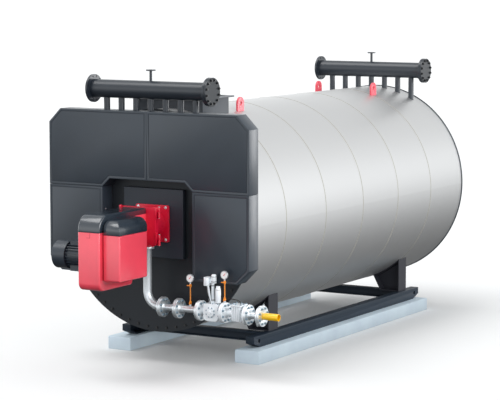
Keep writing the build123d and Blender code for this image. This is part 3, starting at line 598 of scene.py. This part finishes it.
def eased_copy(node, radius_mm):
    """Stand a copy of a CAD node, with its sharp edges rounded, in the node's place."""
    mesh = bmesh.new()
    mesh.from_mesh(frame["nodes"][node].data)
    bmesh.ops.remove_doubles(mesh, verts=mesh.verts, dist=merge_distance)
    bmesh.ops.dissolve_limit(mesh, angle_limit=flat_angle, verts=mesh.verts, edges=mesh.edges)
    edges = [e for e in mesh.edges if e.is_manifold and e.calc_face_angle() > sharp_angle]
    bmesh.ops.bevel(
        mesh, geom=edges, offset=radius_mm * MM, offset_type="OFFSET", affect="EDGES",
        segments=edge_steps, profile=0.5, material=-1, clamp_overlap=True,
    )
    body = frame["nodes"][node]["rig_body"]
    piece = put_piece(node + "_eased", mesh, finish_of[node], body)
    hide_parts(node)
    return piece


print("edges over", round(degrees(sharp_angle)), "degrees are rounded")

# %% [markdown]
# A rolled or turned part has a tight edge, folded sheet a small one, a casting or a housing a
# wider one, and a moulded hood and cast concrete the widest.

# %% Edge radii
nodes_by_radius_mm = {
    1.5: ["gas_inlet_pipe"],
    2: [
        "casing_upper_left", "casing_upper_right", "casing_lower_left", "casing_lower_right",
        "swing_plate", "cross_beams", "flue_duct",
    ],
    2.5: ["gas_spool_1", "gas_spool_2", "gas_inlet_spool", "gas_down_pipe"],
    3: [
        "skid_rail_left", "skid_rail_right", "lifting_lugs", "valve_damper", "valve_actuator",
        "blind_flange_front", "blind_flange_rear", "rear_cover",
    ],
    4: [
        "burner_door", "burner_mount_plate", "volute", "volute_cover", "air_box", "gas_valve",
        "gas_filter",
    ],
    6: ["plinths"],
    7: ["air_box_cover"],
}
eased = {
    node: eased_copy(node, radius_mm)
    for radius_mm, nodes in nodes_by_radius_mm.items()
    for node in nodes
}
print("eased", len(eased), "pieces")

# %% [markdown]
# A part like this is told apart from a toy by its bolts.  They are all hex heads on washers,
# so one bolt is modelled, with the corners of its head turned off as on real ones, and a
# copy is stamped wherever a bolt goes.  Each has few faces, because there are hundreds, and
# all the bolts of one joint are one mesh, which is lighter than an object for each.  The sizes
# of washer, stud and rounding are shares of the width across the flats, as on real bolts.

# %% Discs, bolts and stamps
washer_reach = 0.72
washer_height = 0.12
head_ease = 0.07
stud_reach = 0.3
stud_ease = 0.04
top_share = 0.9


def turned_disc(mesh, radius, height, sides, rise=0.0, ease=0.0):
    """Add a closed round or many-sided disc that stands on z = rise, its top edge eased."""
    made = bmesh.ops.create_cone(
        mesh, cap_ends=True, segments=sides, radius1=radius, radius2=radius, depth=height
    )
    bmesh.ops.translate(mesh, verts=made["verts"], vec=(0, 0, rise + height / 2))
    if ease:
        near_top = rise + height * top_share
        top = [
            e for e in mesh.edges
            if all(v in made["verts"] and v.co.z > near_top for v in e.verts)
        ]
        bmesh.ops.bevel(
            mesh, geom=top, offset=ease, affect="EDGES", segments=1, profile=0.5, material=-1
        )


def as_template(mesh):
    """Turn a bmesh into mesh data that can be stamped."""
    data = bpy.data.meshes.new("template")
    mesh.to_mesh(data)
    mesh.free()
    return data


def hex_bolt(across_mm, head_mm, stud_mm=0):
    """A hex head on its washer, looking up from the origin, with a stud end if one shows."""
    mesh = bmesh.new()
    across, head, end = across_mm * MM, head_mm * MM, stud_mm * MM
    washer = across * washer_height
    turned_disc(mesh, across * washer_reach, washer, 12)
    corner = across / 2 / cos(pi / 6)
    turned_disc(mesh, corner, head, 6, rise=washer, ease=across * head_ease)
    if stud_mm:
        turned_disc(
            mesh, across * stud_reach, end, 8, rise=washer + head, ease=across * stud_ease
        )
    return as_template(mesh)


def stamp(mesh, template, place, facing):
    """Add a copy of a template to a bmesh, standing on a place and looking along facing."""
    turn = Vector(facing).to_track_quat("Z", "Y").to_matrix().to_4x4()
    copy = template.copy()
    copy.transform(Matrix.Translation(place) @ turn)
    mesh.from_mesh(copy)
    bpy.data.meshes.remove(copy)


rim_bolt = hex_bolt(26, 12)
header_nut = hex_bolt(26, 13, stud_mm=5)
gas_nut = hex_bolt(21, 13, stud_mm=5)
cover_bolt = hex_bolt(17, 11)
small_bolt = hex_bolt(13, 7)
print("faces of a nut with its stud", len(gas_nut.polygons))

# %% [markdown]
# Bolts stand in rings.  On a pipe flange no bolt is at the very top, so the angles start half
# a step past it.

# %% Rings of bolts
def ring_of_places(centre, radius, angles, axis):
    """Points on a circle round an axis through the centre, the angle 0 at the top."""
    if axis == "X":
        return [centre + Vector((0, radius * sin(a), radius * cos(a))) for a in angles]
    return [centre + Vector((radius * sin(a), 0, radius * cos(a))) for a in angles]


def half_step_ring(count):
    """Even angles round a circle with no bolt at the very top, as on pipe flanges."""
    return [tau * (i + 0.5) / count for i in range(count)]


print("a ring of 8 starts at", round(degrees(half_step_ring(8)[0]), 1), "degrees")

# %% [markdown]
# The round end plates are bolted to the vessel all round their rims.  At the front the casing
# covers the upper bolts, so only those below it are made.  At the rear a smaller ring of bolts
# stands round the cover.

# %% End plate bolts
rim_bolt_inset = 40 * MM
rim_bolt_count = 60
shown_each_way = 9
cover_bolt_gap = 22 * MM
cover_bolt_count = 16

front_face = Vector((vessel.x, low("front_plate").y, vessel.z))
rear_face = Vector((vessel.x, high("rear_plate").y, vessel.z))
rim_radius = shell_radius - rim_bolt_inset
cover_radius = (high("rear_cover").x - low("rear_cover").x) / 2 + cover_bolt_gap
lowest = range(-shown_each_way, shown_each_way + 1)
shown_angles = [pi + i * tau / rim_bolt_count for i in lowest]
bolts = bmesh.new()
for bolt, face, side, radius, angles in (
    (rim_bolt, front_face, -1, rim_radius, shown_angles),
    (rim_bolt, rear_face, 1, rim_radius, half_step_ring(rim_bolt_count)),
    (small_bolt, rear_face, 1, cover_radius, half_step_ring(cover_bolt_count)),
):
    for place in ring_of_places(face, radius, angles, "Y"):
        stamp(bolts, bolt, place, (0, side, 0))
put_piece("end_plate_bolts", bolts, black_bolt, "heater")
print("end plate bolts", len(shown_angles) + rim_bolt_count + cover_bolt_count)

# %% [markdown]
# The closed end of each header is a pair of flanges drawn together by twelve studs, with a
# nut on both faces.

# %% Header nuts
header_bolt_circle = 284 * MM
header_bolt_count = 12
header_flange_t = 26 * MM
nuts = bmesh.new()
for end in ("front", "rear"):
    outer = middle(f"blind_flange_{end}")
    outer.x = high(f"blind_flange_{end}").x
    inner = Vector((high(f"header_{end}").x - header_flange_t, outer.y, outer.z))
    angles = half_step_ring(header_bolt_count)
    for centre, side in ((outer, 1), (inner, -1)):
        for place in ring_of_places(centre, header_bolt_circle / 2, angles, "X"):
            stamp(nuts, header_nut, place, (side, 0, 0))
put_piece("header_nuts", nuts, black_bolt, "heater")
print("header nuts", 2 * 2 * header_bolt_count)

# %% [markdown]
# Six flange joints hold the gas train together, each with eight studs.  Their nuts show on
# both sides of the joint, a flange's thickness away from it.

# %% Gas train nuts
gas_bolt_circle = 190 * MM
gas_bolt_count = 8
nuts = bmesh.new()
for x in joint_xs:
    for side in (-1, 1):
        centre = Vector((x + side * gas_flange_t, gas_axis.y, gas_axis.z))
        angles = half_step_ring(gas_bolt_count)
        for place in ring_of_places(centre, gas_bolt_circle / 2, angles, "X"):
            stamp(nuts, gas_nut, place, (side, 0, 0))
put_piece("gas_train_bolts", nuts, blued_zinc, "heater")
print("gas train nuts", len(joint_xs) * 2 * gas_bolt_count)

# %% [markdown]
# The filter and the valve are castings.  A filter housing is stiffened by upright ribs under
# its square cover.  Each rib is a rounded bar, half sunk in the wall of the housing, which is
# simpler than growing it out of the wall and looks the same.

# %% Filter ribs
filter_x = low("gas_filter").x + 189.5 * MM
filter_half_width = 66 * MM
rib_foot = gas_axis.z - 72 * MM
cover_under = gas_axis.z + 96 * MM
cover_top = gas_axis.z + 114 * MM
rib_size = Vector((11 * MM, 16 * MM, cover_under - rib_foot))
rib_round = 2 * MM
rib_shares = (-0.72, -0.26, 0.26, 0.72)


def rounded_bar(mesh, centre, size, radius):
    """Add a box of a size about a centre, with all its edges rounded."""
    made = bmesh.ops.create_cube(mesh, size=1, matrix=Matrix.LocRotScale(centre, None, size))
    edges = dict.fromkeys(e for v in made["verts"] for e in v.link_edges)
    bmesh.ops.bevel(
        mesh, geom=list(edges), offset=radius, affect="EDGES", segments=2, profile=0.5,
        material=-1,
    )


castings = bmesh.new()
for share in rib_shares:
    for side in (-1, 1):
        rib = Vector((
            filter_x + share * filter_half_width,
            gas_axis.y + side * filter_half_width,
            (rib_foot + cover_under) / 2,
        ))
        rounded_bar(castings, rib, rib_size, rib_round)
print("filter ribs", 2 * len(rib_shares))

# %% [markdown]
# A valve body has a round cover over its seat, on the front, and a plain one behind.  Each is
# a stack of turned discs, so it is listed as radius, height and foot, in millimetres.

# %% Valve covers
valve_x = low("valve_actuator").x + 102 * MM
valve_half_depth = 75 * MM
seat_cover_mm = [(62, 8, -1), (50, 9, 6), (20, 14, 14)]
back_cover_mm = [(62, 8, -1), (44, 7, 6)]
disc_ease = 1.5 * MM


def turned_template(discs_mm):
    """A stack of eased discs on one axis, each given by its radius, height and foot in mm."""
    mesh = bmesh.new()
    for radius, height, rise in discs_mm:
        turned_disc(mesh, radius * MM, height * MM, 32, rise=rise * MM, ease=disc_ease)
    return as_template(mesh)


valve_front = Vector((valve_x, gas_axis.y - valve_half_depth, gas_axis.z))
valve_back = Vector((valve_x, gas_axis.y + valve_half_depth, gas_axis.z))
stamp(castings, turned_template(seat_cover_mm), valve_front, (0, -1, 0))
stamp(castings, turned_template(back_cover_mm), valve_back, (0, 1, 0))
put_piece("valve_and_filter_castings", castings, silver_enamel, "heater")
print("valve covers 2")

# %% [markdown]
# The filter's square cover has a bolt at each corner and one between.  The valve has bolts
# round both its covers and six on top, where the actuator stands.

# %% Filter and valve bolts
valve_top = low("valve_actuator").z
top_bolts_mm = ((-72, -55), (-72, 55), (88, -60), (88, 60), (20, -62), (20, 62))
seat_bolt_radius = 56 * MM
seat_bolt_count = 8
seat_bolt_rise = 7 * MM
grid = [(i, j) for i in (-1, 0, 1) for j in (-1, 0, 1) if (i, j) != (0, 0)]
bolts = bmesh.new()
for i, j in grid:
    place = (filter_x + i * filter_half_width, gas_axis.y + j * filter_half_width, cover_top)
    stamp(bolts, cover_bolt, place, (0, 0, 1))
for x, y in top_bolts_mm:
    place = (valve_x + x * MM, gas_axis.y + y * MM, valve_top)
    stamp(bolts, small_bolt, place, (0, 0, 1))
for centre, side in ((valve_front, -1), (valve_back, 1)):
    face = centre + Vector((0, side * seat_bolt_rise, 0))
    for place in ring_of_places(face, seat_bolt_radius, half_step_ring(seat_bolt_count), "Y"):
        stamp(bolts, small_bolt, place, (0, side, 0))
put_piece("valve_and_filter_bolts", bolts, blued_zinc, "heater")
print("filter bolts", len(grid), "valve bolts", len(top_bolts_mm) + 2 * seat_bolt_count)

# %% [markdown]
# Black rubber rings seal the joints of the actuator: two on its stem, two on the round cap
# over it, and two on the damper that stands beside it.  Each pair is a stack of two discs,
# a little wider than the post they sit on.

# %% Actuator seals
cap_inset = 32 * MM
cap_rise = 240 * MM
stem_step = 14 * MM
damper = middle("valve_damper")
cap_foot = Vector((high("valve_actuator").x - cap_inset, gas_axis.y, valve_top + cap_rise))
stem_foot = cap_foot - Vector((stem_step, 0, cap_rise))
damper_foot = Vector((damper.x, damper.y, low("valve_damper").z))
seals = bmesh.new()
for foot, discs_mm in (
    (cap_foot, [(33.5, 7, 14), (33.5, 4, 74)]),
    (stem_foot, [(21, 9, 36), (21, 9, 205)]),
    (damper_foot, [(34.5, 6, 8), (34.5, 4, 168)]),
):
    stamp(seals, turned_template(discs_mm), foot, (0, 0, 1))
put_piece("actuator_seals", seals, lead_rubber, "heater")
print("seals 6")

# %% [markdown]
# Four bright zinc bolts fix the burner's square plate to the door, near its corners.

# %% Mount plate bolts
mount_bolt = hex_bolt(26, 10)
mount_bolts_mm = [(x, z) for x in (-193, 193) for z in (-190, 195)]
plate_face = middle("burner_mount_plate")
plate_face.y = low("burner_mount_plate").y
bolts = bmesh.new()
for x, z in mount_bolts_mm:
    stamp(bolts, mount_bolt, plate_face + Vector((x, 0, z)) * MM, (0, -1, 0))
put_piece("mount_plate_bolts", bolts, bright_zinc, "heater")
print("mount plate bolts", len(mount_bolts_mm))

# %% [markdown]
# One small bolt shows on the inner cheek of the arch, to the left of the burner.

# %% Arch bolt
arch_half_width = 640 * MM
arch_bolt_step = 143 * MM
arch_bolt_height = 1876 * MM
arch_bolt_place = Vector(
    (vessel.x - arch_half_width, front_face.y - arch_bolt_step, arch_bolt_height)
)
bolts = bmesh.new()
stamp(bolts, small_bolt, arch_bolt_place, (1, 0, 0))
put_piece("arch_bolt", bolts, bright_zinc, "heater")
print("arch bolt at", [round(v, 3) for v in arch_bolt_place])

# %% [markdown]
# The swinging plate carries two flat hinge straps beside the knuckles, and a round catch at
# its far upper corner.  The straps are rounded bars; the catch is a turned knob.  All of it
# rides on the burner, because it swings with the plate.

# %% Hinge straps
strap_size = Vector((20, 12, 128)) * MM
strap_round = 3 * MM
strap_heights = (1609 * MM, 1895 * MM)
plate_edge_x = vessel.x + 254 * MM
strap_step = 6 * MM
sunk = 4 * MM
swing_face = low("swing_plate").y
straps = bmesh.new()
for z in strap_heights:
    centre = Vector((plate_edge_x + strap_step, swing_face - strap_size.y / 2 + sunk, z))
    rounded_bar(straps, centre, strap_size, strap_round)
put_piece("hinge_straps", straps, plate_enamel, "burner")
print("hinge straps", len(strap_heights))

# %% [markdown]
# The catch is turned with its axis upright, so it is laid over before it goes to its place.

# %% Plate catch
catch_radius = 17 * MM
catch_length = 30 * MM
catch_ease = 5 * MM
catch_x = vessel.x - 232 * MM
catch_drop = 12 * MM
catch = bmesh.new()
turned_disc(catch, catch_radius, catch_length, 24, ease=catch_ease)
bmesh.ops.rotate(catch, verts=catch.verts, matrix=Matrix.Rotation(radians(90), 3, "X"))
catch_place = Vector((catch_x, swing_face + sunk, high("swing_plate").z - catch_drop))
bmesh.ops.translate(catch, verts=catch.verts, vec=catch_place)
put_piece("plate_catch", catch, plate_enamel, "burner")
print("catch at", [round(v, 3) for v in catch_place])

# %% [markdown]
# Two pressure gauges stand over the gas pipe.  From the pipe up, each is a pale boss, a brass
# cock, a thin pipe, a second cock with a lever, a short bright stem and a round dial.  All of
# it is turned work, so each solid is a profile of radius and height spun about its axis.

# %% Gauge fittings
boss_mm = [(0, 0), (13, 0), (15, 3), (15, 16), (11, 20), (0, 20)]
stem_mm = [(0, 0), (8, 0), (8, 8), (11, 10), (11, 18), (8, 20), (8, 24), (0, 24)]


def spun(mesh, profile_mm, place, facing=(0, 0, 1), sides=28):
    """Spin a profile of (radius, height) pairs about its axis and stand it on a place."""
    turned = bmesh.new()
    chain = [turned.verts.new((radius * MM, 0, rise * MM)) for radius, rise in profile_mm]
    edges = [turned.edges.new(pair) for pair in zip(chain, chain[1:])]
    bmesh.ops.spin(
        turned, geom=chain + edges, axis=(0, 0, 1), cent=(0, 0, 0), angle=tau, steps=sides,
        use_merge=True,
    )
    bmesh.ops.remove_doubles(turned, verts=turned.verts, dist=merge_distance)
    bmesh.ops.recalc_face_normals(turned, faces=turned.faces)
    stamp(mesh, as_template(turned), place, facing)


def fittings(foot, neck):
    """The pale boss on the pipe and the bright stem under the dial."""
    mesh = bmesh.new()
    spun(mesh, boss_mm, foot)
    spun(mesh, stem_mm, neck)
    return mesh


print("gauge fittings ready")

# %% [markdown]
# A cock is a waisted brass body with a collar at each end.  The lever of the upper
# one lies across the pipe, which is closed, and that of the lower one hangs along it, which
# is open.

# %% Gauge cocks
pipe_radius_mm = 7
cock_mm = [
    (0, -20), (11, -20), (14, -16), (14, -11), (10, -9), (17, -5), (18, 0), (17, 5),
    (10, 9), (14, 11), (14, 16), (11, 20), (0, 20),
]
knob_mm = [(0, 0), (9, 0), (9, 6), (6, 9), (0, 9)]
knob_step = Vector((0, -15, 0)) * MM
lever_round = 2.5 * MM
lever_across = Vector((-15, -25, 0)) * MM, Vector((40, 6, 13)) * MM
lever_down = Vector((0, -25, -8)) * MM, Vector((11, 6, 30)) * MM


def cocks(foot, lower_cock, upper_cock):
    """The thin pipe with its two cocks and their levers."""
    mesh = bmesh.new()
    pipe_mm = (upper_cock.z - foot.z) / MM
    pipe_profile = [(0, 0), (pipe_radius_mm, 0), (pipe_radius_mm, pipe_mm), (0, pipe_mm)]
    spun(mesh, pipe_profile, foot)
    for cock in (lower_cock, upper_cock):
        spun(mesh, cock_mm, cock)
        spun(mesh, knob_mm, cock + knob_step, (0, -1, 0), 14)
    for cock, (step, size) in ((upper_cock, lever_across), (lower_cock, lever_down)):
        rounded_bar(mesh, cock + step, size, lever_round)
    return mesh


print("gauge cocks ready")

# %% [markdown]
# The dial is a pressed steel case with a turned-over rim, a printed face, a ring of marks and
# a red needle.  The marks are thirteen small bars set round three quarters of a circle.  A
# printed texture would be quicker, but then the marks would not be part of the model.

# %% Gauge dial
forward = (0, -1, 0)
case_mm = [
    (0, -32), (40, -32), (47, -28), (50, -22), (50, -3), (48, 0), (44.5, 0), (43.5, -3),
    (0, -3),
]
face_mm = [(0, 0), (43, 0), (43, -1.5), (0, -1.5)]
face_step = Vector((0, 1.2, 0)) * MM
dial_sides = 48


def dial_case(dial):
    """The steel case, open at the front down to the face."""
    mesh = bmesh.new()
    spun(mesh, case_mm, dial, forward, dial_sides)
    return mesh


def dial_face(dial):
    """The white disc that the marks are printed on."""
    mesh = bmesh.new()
    spun(mesh, face_mm, dial + face_step, forward, dial_sides)
    return mesh


print("gauge case and face ready")

# %% [markdown]
# A mark is made at the top of the dial and then turned about its centre, the way a dial is
# divided on a machine.

# %% Marks and needle
mark_count = 13
first_mark, mark_step = -135, 22.5
long_mark_mm, short_mark_mm = (37, 7), (38.5, 4)
mark_round = 0.2 * MM
needle_size = Vector((5, 1.2, 44)) * MM
needle_middle = Vector((0, 0, 9)) * MM
needle_round = 0.5 * MM
needle_turn = 38
needle_step = Vector((0, 1.2, 0)) * MM
hub_mm = [(0, 0), (6, 0), (6, 2), (4, 3), (0, 3)]


def dial_marks(face):
    """A long mark at every third place and short ones between, round the face."""
    mesh = bmesh.new()
    for i in range(mark_count):
        reach, length = short_mark_mm if i % 3 else long_mark_mm
        mark = bmesh.new()
        size = Vector((1.6, 0.8, length)) * MM
        rounded_bar(mark, Vector((0, 0, reach)) * MM, size, mark_round)
        turn = Matrix.Rotation(radians(first_mark + i * mark_step), 3, "Y")
        bmesh.ops.rotate(mark, verts=mark.verts, matrix=turn)
        stamp(mesh, as_template(mark), face, (0, 0, 1))
    return mesh


def dial_needle(face):
    """A red needle on a small hub, pointing up to the right."""
    mesh = bmesh.new()
    rounded_bar(mesh, needle_middle, needle_size, needle_round)
    turn = Matrix.Rotation(radians(needle_turn), 3, "Y")
    bmesh.ops.rotate(mesh, verts=mesh.verts, matrix=turn)
    bmesh.ops.translate(mesh, verts=mesh.verts, vec=face - needle_step)
    spun(mesh, hub_mm, face, forward, 16)
    return mesh


print("marks on a dial", mark_count)

# %% [markdown]
# Both gauges are the same, so one function stands all the parts on the pipe.  The dial's
# centre lies one dial radius under the top of the plain CAD piece that they replace.

# %% Gauges on the pipe
dial_radius = 50 * MM
dial_half_depth = 16 * MM
lower_cock_rise = 38 * MM
upper_cock_drop = 86 * MM
neck_rise = 18 * MM
print_inset = 0.9 * MM


def build_gauge(node, number):
    """All the pieces of one gauge, in the place of its plain CAD solid."""
    foot = Vector((high(node).x - dial_radius, gas_axis.y, low(node).z))
    dial = Vector((foot.x, foot.y - dial_half_depth, high(node).z - dial_radius))
    lower_cock = foot + Vector((0, 0, lower_cock_rise))
    upper_cock = Vector((foot.x, foot.y, dial.z - upper_cock_drop))
    neck = upper_cock + Vector((0, 0, neck_rise))
    face = dial + Vector((0, print_inset, 0))
    parts = (
        ("fittings", fittings(foot, neck), bright_zinc),
        ("cocks", cocks(foot, lower_cock, upper_cock), orange_paint),
        ("case", dial_case(dial), steel),
        ("face", dial_face(dial), white_dial),
        ("marks", dial_marks(face), black_print),
        ("needle", dial_needle(face), red_needle),
    )
    pieces = {
        part: put_piece(f"gauge_{number}_{part}", mesh, material, "heater")
        for part, mesh, material in parts
    }
    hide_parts(node)
    return pieces


gauge_pieces = [build_gauge(f"pressure_gauge_{number}", number) for number in (1, 2)]
print("gauge pieces", sum(len(pieces) for pieces in gauge_pieces))

# %% [markdown]
# The cladding sheets overlap at five seams round the vessel, each sealed with a thin pale
# bead.  A bead is a low rounded band, so a small closed profile is spun round the axis.  Its
# root lies inside the sheet, which leaves no gap between them.

# %% Cladding seam beads
bead_half_width = 7 * MM
bead_height = 2.5 * MM
bead_root = -0.5 * MM
shoulder_out = bead_half_width * 0.6
shoulder_up = bead_height * 0.8
bead_profile = [
    (-bead_half_width, bead_root), (-shoulder_out, shoulder_up), (0, bead_height),
    (shoulder_out, shoulder_up), (bead_half_width, bead_root),
]
seam_count = 5
beads = bmesh.new()
for i in range(1, seam_count + 1):
    seam_y = high("cladding_rings").y - i * sheet_length
    chain = [
        beads.verts.new((vessel.x, seam_y + along, vessel.z + shell_radius + proud))
        for along, proud in bead_profile
    ]
    edges = [beads.edges.new(pair) for pair in zip(chain, chain[1:] + chain[:1])]
    bmesh.ops.spin(
        beads, geom=chain + edges, axis=(0, 1, 0), cent=vessel, angle=tau, steps=180,
        use_merge=True,
    )
bmesh.ops.remove_doubles(beads, verts=beads.verts, dist=merge_distance)
bmesh.ops.recalc_face_normals(beads, faces=beads.faces)
put_piece("cladding_seam_beads", beads, seam_sealant, "heater")
print("seam beads", seam_count)

# %% [markdown]
# The motor's fan draws its air through the end of the cowl.  Its guard is a set of rings on
# two crossed spokes.  Each ring is a small closed profile, spun, and each spoke a rounded bar.

# %% Motor fan guard
ring_step_mm = 14
ring_profile_mm = [(0, -1), (1, 3), (4, 3), (5, -1), (0, -1)]
guard_border_mm = 30
spoke_round = 1.5 * MM
spoke_angles = (45, 135)
cowl = middle("motor_cowl")
cowl_end = Vector((low("motor_cowl").x, cowl.y, cowl.z))
cowl_radius_mm = (high("motor_cowl").z - low("motor_cowl").z) / 2 / MM
guard_reach_mm = cowl_radius_mm - guard_border_mm
ring_count = int(guard_reach_mm / ring_step_mm)
guard = bmesh.new()
for i in range(1, ring_count + 1):
    ring_mm = [(i * ring_step_mm + out, rise) for out, rise in ring_profile_mm]
    spun(guard, ring_mm, cowl_end, (-1, 0, 0), 40)
for angle in spoke_angles:
    spoke = bmesh.new()
    spoke_size = Vector((5, 9, 2 * guard_reach_mm)) * MM
    rounded_bar(spoke, Vector((0, 0, 0)), spoke_size, spoke_round)
    bmesh.ops.rotate(spoke, verts=spoke.verts, matrix=Matrix.Rotation(radians(angle), 3, "X"))
    stamp(guard, as_template(spoke), cowl_end, (0, 0, 1))
put_piece("motor_fan_guard", guard, motor_paint, "burner")
print("guard rings", ring_count, "spokes", len(spoke_angles))

# %% [markdown]
# A shallow hook-shaped line is pressed in the red front of the fan housing, just under the
# hood.  Cutting it in would need the CAD mesh changed, so it is drawn as a thin darker inlay
# of two flat bars, an upright and a toe.

# %% Pressed hook line
line_depth = 0.6 * MM
line_round = 0.1 * MM
hook_height = 1757 * MM
hook_top = Vector((vessel.x, low("volute").y, hook_height))
upright = Vector((-10, 0, -30)) * MM, Vector((5 * MM, line_depth, 58 * MM))
toe = Vector((-34, 0, -57)) * MM, Vector((46 * MM, line_depth, 4 * MM))
hook = bmesh.new()
for step, size in (upright, toe):
    rounded_bar(hook, hook_top + step, size, line_round)
put_piece("fan_housing_hook_line", hook, hook_red, "burner")
print("hook line of 2 bars")

# %% [markdown]
# The heater stands on a pale floor, so wide that its edge never shows.  The floor is kept out
# of the reflections and of the bounced light, so the belly of the vessel darkens as in a
# catalogue picture.

# %% Floor
floor_size = 900
floor_mesh = bmesh.new()
bmesh.ops.create_grid(floor_mesh, x_segments=1, y_segments=1, size=floor_size / 2)
floor = bpy.data.objects.new("floor", as_template(floor_mesh))
bpy.context.scene.collection.objects.link(floor)

# Matt backdrop paint: it has no gloss of its own and only takes the shadow
floor_paint, _, floor_shader = new_material("pale_floor", Roughness=0.9)
floor_shader.inputs["Base Color"].default_value = linear("#FAFAFA")
floor.data.materials.append(floor_paint)
floor.visible_glossy = False
floor.visible_diffuse = False
print("floor", floor_size, "m across")

# %% [markdown]
# Painted and polished metal shows what is round it.  A white sweep stands all round, brightest
# near eye level and dark below it, so each face picks up a tone from the way it looks.  The
# sweep is a world colour: the height of the viewing direction, put through a ramp of greys.

# %% Studio sweep
sweep_tones = {-1: 0.02, -0.45: 0.1, -0.2: 0.36, -0.02: 0.8, 0.12: 0.92, 0.4: 0.58, 1: 0.3}
sweep_tint = Vector((0.97, 0.99, 1))
sweep_strength = 1.7
sweep = bpy.data.worlds.new("studio_sweep")
sweep.use_nodes = True
tree = sweep.node_tree
direction = add_node(tree, "ShaderNodeTexCoord", {}).outputs["Generated"]
height = add_node(tree, "ShaderNodeSeparateXYZ", {"Vector": direction}).outputs["Z"]
share = add_node(
    tree, "ShaderNodeMapRange", {"Value": height, "From Min": -1, "From Max": 1}
).outputs["Result"]
ramp = add_node(tree, "ShaderNodeValToRGB", {"Fac": share})
while len(ramp.color_ramp.elements) < len(sweep_tones):
    ramp.color_ramp.elements.new(0.5)
for stop, (rise, tone) in zip(ramp.color_ramp.elements, sweep_tones.items()):
    stop.position = (rise + 1) / 2
    stop.color = (*(tone * sweep_tint), 1)
tree.links.new(ramp.outputs["Color"], tree.nodes["Background"].inputs["Color"])
tree.nodes["Background"].inputs["Strength"].default_value = sweep_strength
bpy.context.scene.world = sweep
print("sweep tones", len(sweep_tones))

# %% [markdown]
# One soft lamp high on the left lays the shadow to the right of the skid.  Its disc is wide,
# 40 degrees, because a cloudy sky gives a shadow without an edge.

# %% Soft lamp
lamp_aim = Vector((0.35, 0.25, -1))
lamp_data = bpy.data.lights.new("soft_lamp", "SUN")
lamp_data.angle = radians(40)
lamp_data.energy = 1.25
lamp = bpy.data.objects.new("soft_lamp", lamp_data)
lamp.rotation_euler = lamp_aim.to_track_quat("-Z", "Y").to_euler()
bpy.context.scene.collection.objects.link(lamp)
print("lamp of", lamp_data.energy, "watts on each square metre")

# %% [markdown]
# Two softboxes on the right lift the red housings and the edge of the casing.  A photographer
# hangs black flags where a softbox would burn out something pale or glossy, and light linking
# does the same here: both are kept off the floor, the plinths and the blind flanges, and the
# back one off the cladding too.

# %% Softboxes
flagged = [
    floor, eased["plinths"], eased["blind_flange_front"], eased["blind_flange_rear"],
]
flagged_at_back = flagged + [frame["nodes"]["cladding_rings"]]
# Each softbox: name, place, aim, width, height, power in watts, what it is kept off
softboxes = (
    ("side_softbox", (11, -4, 6), (0, -2, 1.6), 9, 5, 750, flagged),
    ("back_softbox", (6.9, 6.5, 2.9), (1.6, -2.2, 2.2), 4.5, 4, 270, flagged_at_back),
)
for name, place, aim, width, tall, power, kept_off in softboxes:
    box_data = bpy.data.lights.new(name, "AREA")
    box_data.shape = "RECTANGLE"
    box_data.size = width
    box_data.size_y = tall
    box_data.energy = power
    box = bpy.data.objects.new(name, box_data)
    box.location = place
    box.rotation_euler = (Vector(aim) - box.location).to_track_quat("-Z", "Y").to_euler()
    box.visible_camera = False
    bpy.context.scene.collection.objects.link(box)
    flags = bpy.data.collections.new(name + "_flags")
    for thing in kept_off:
        flags.objects.link(thing)
    for link in flags.collection_objects:
        link.light_linking.link_state = "EXCLUDE"
    box.light_linking.receiver_collection = flags
print("softboxes", len(softboxes))
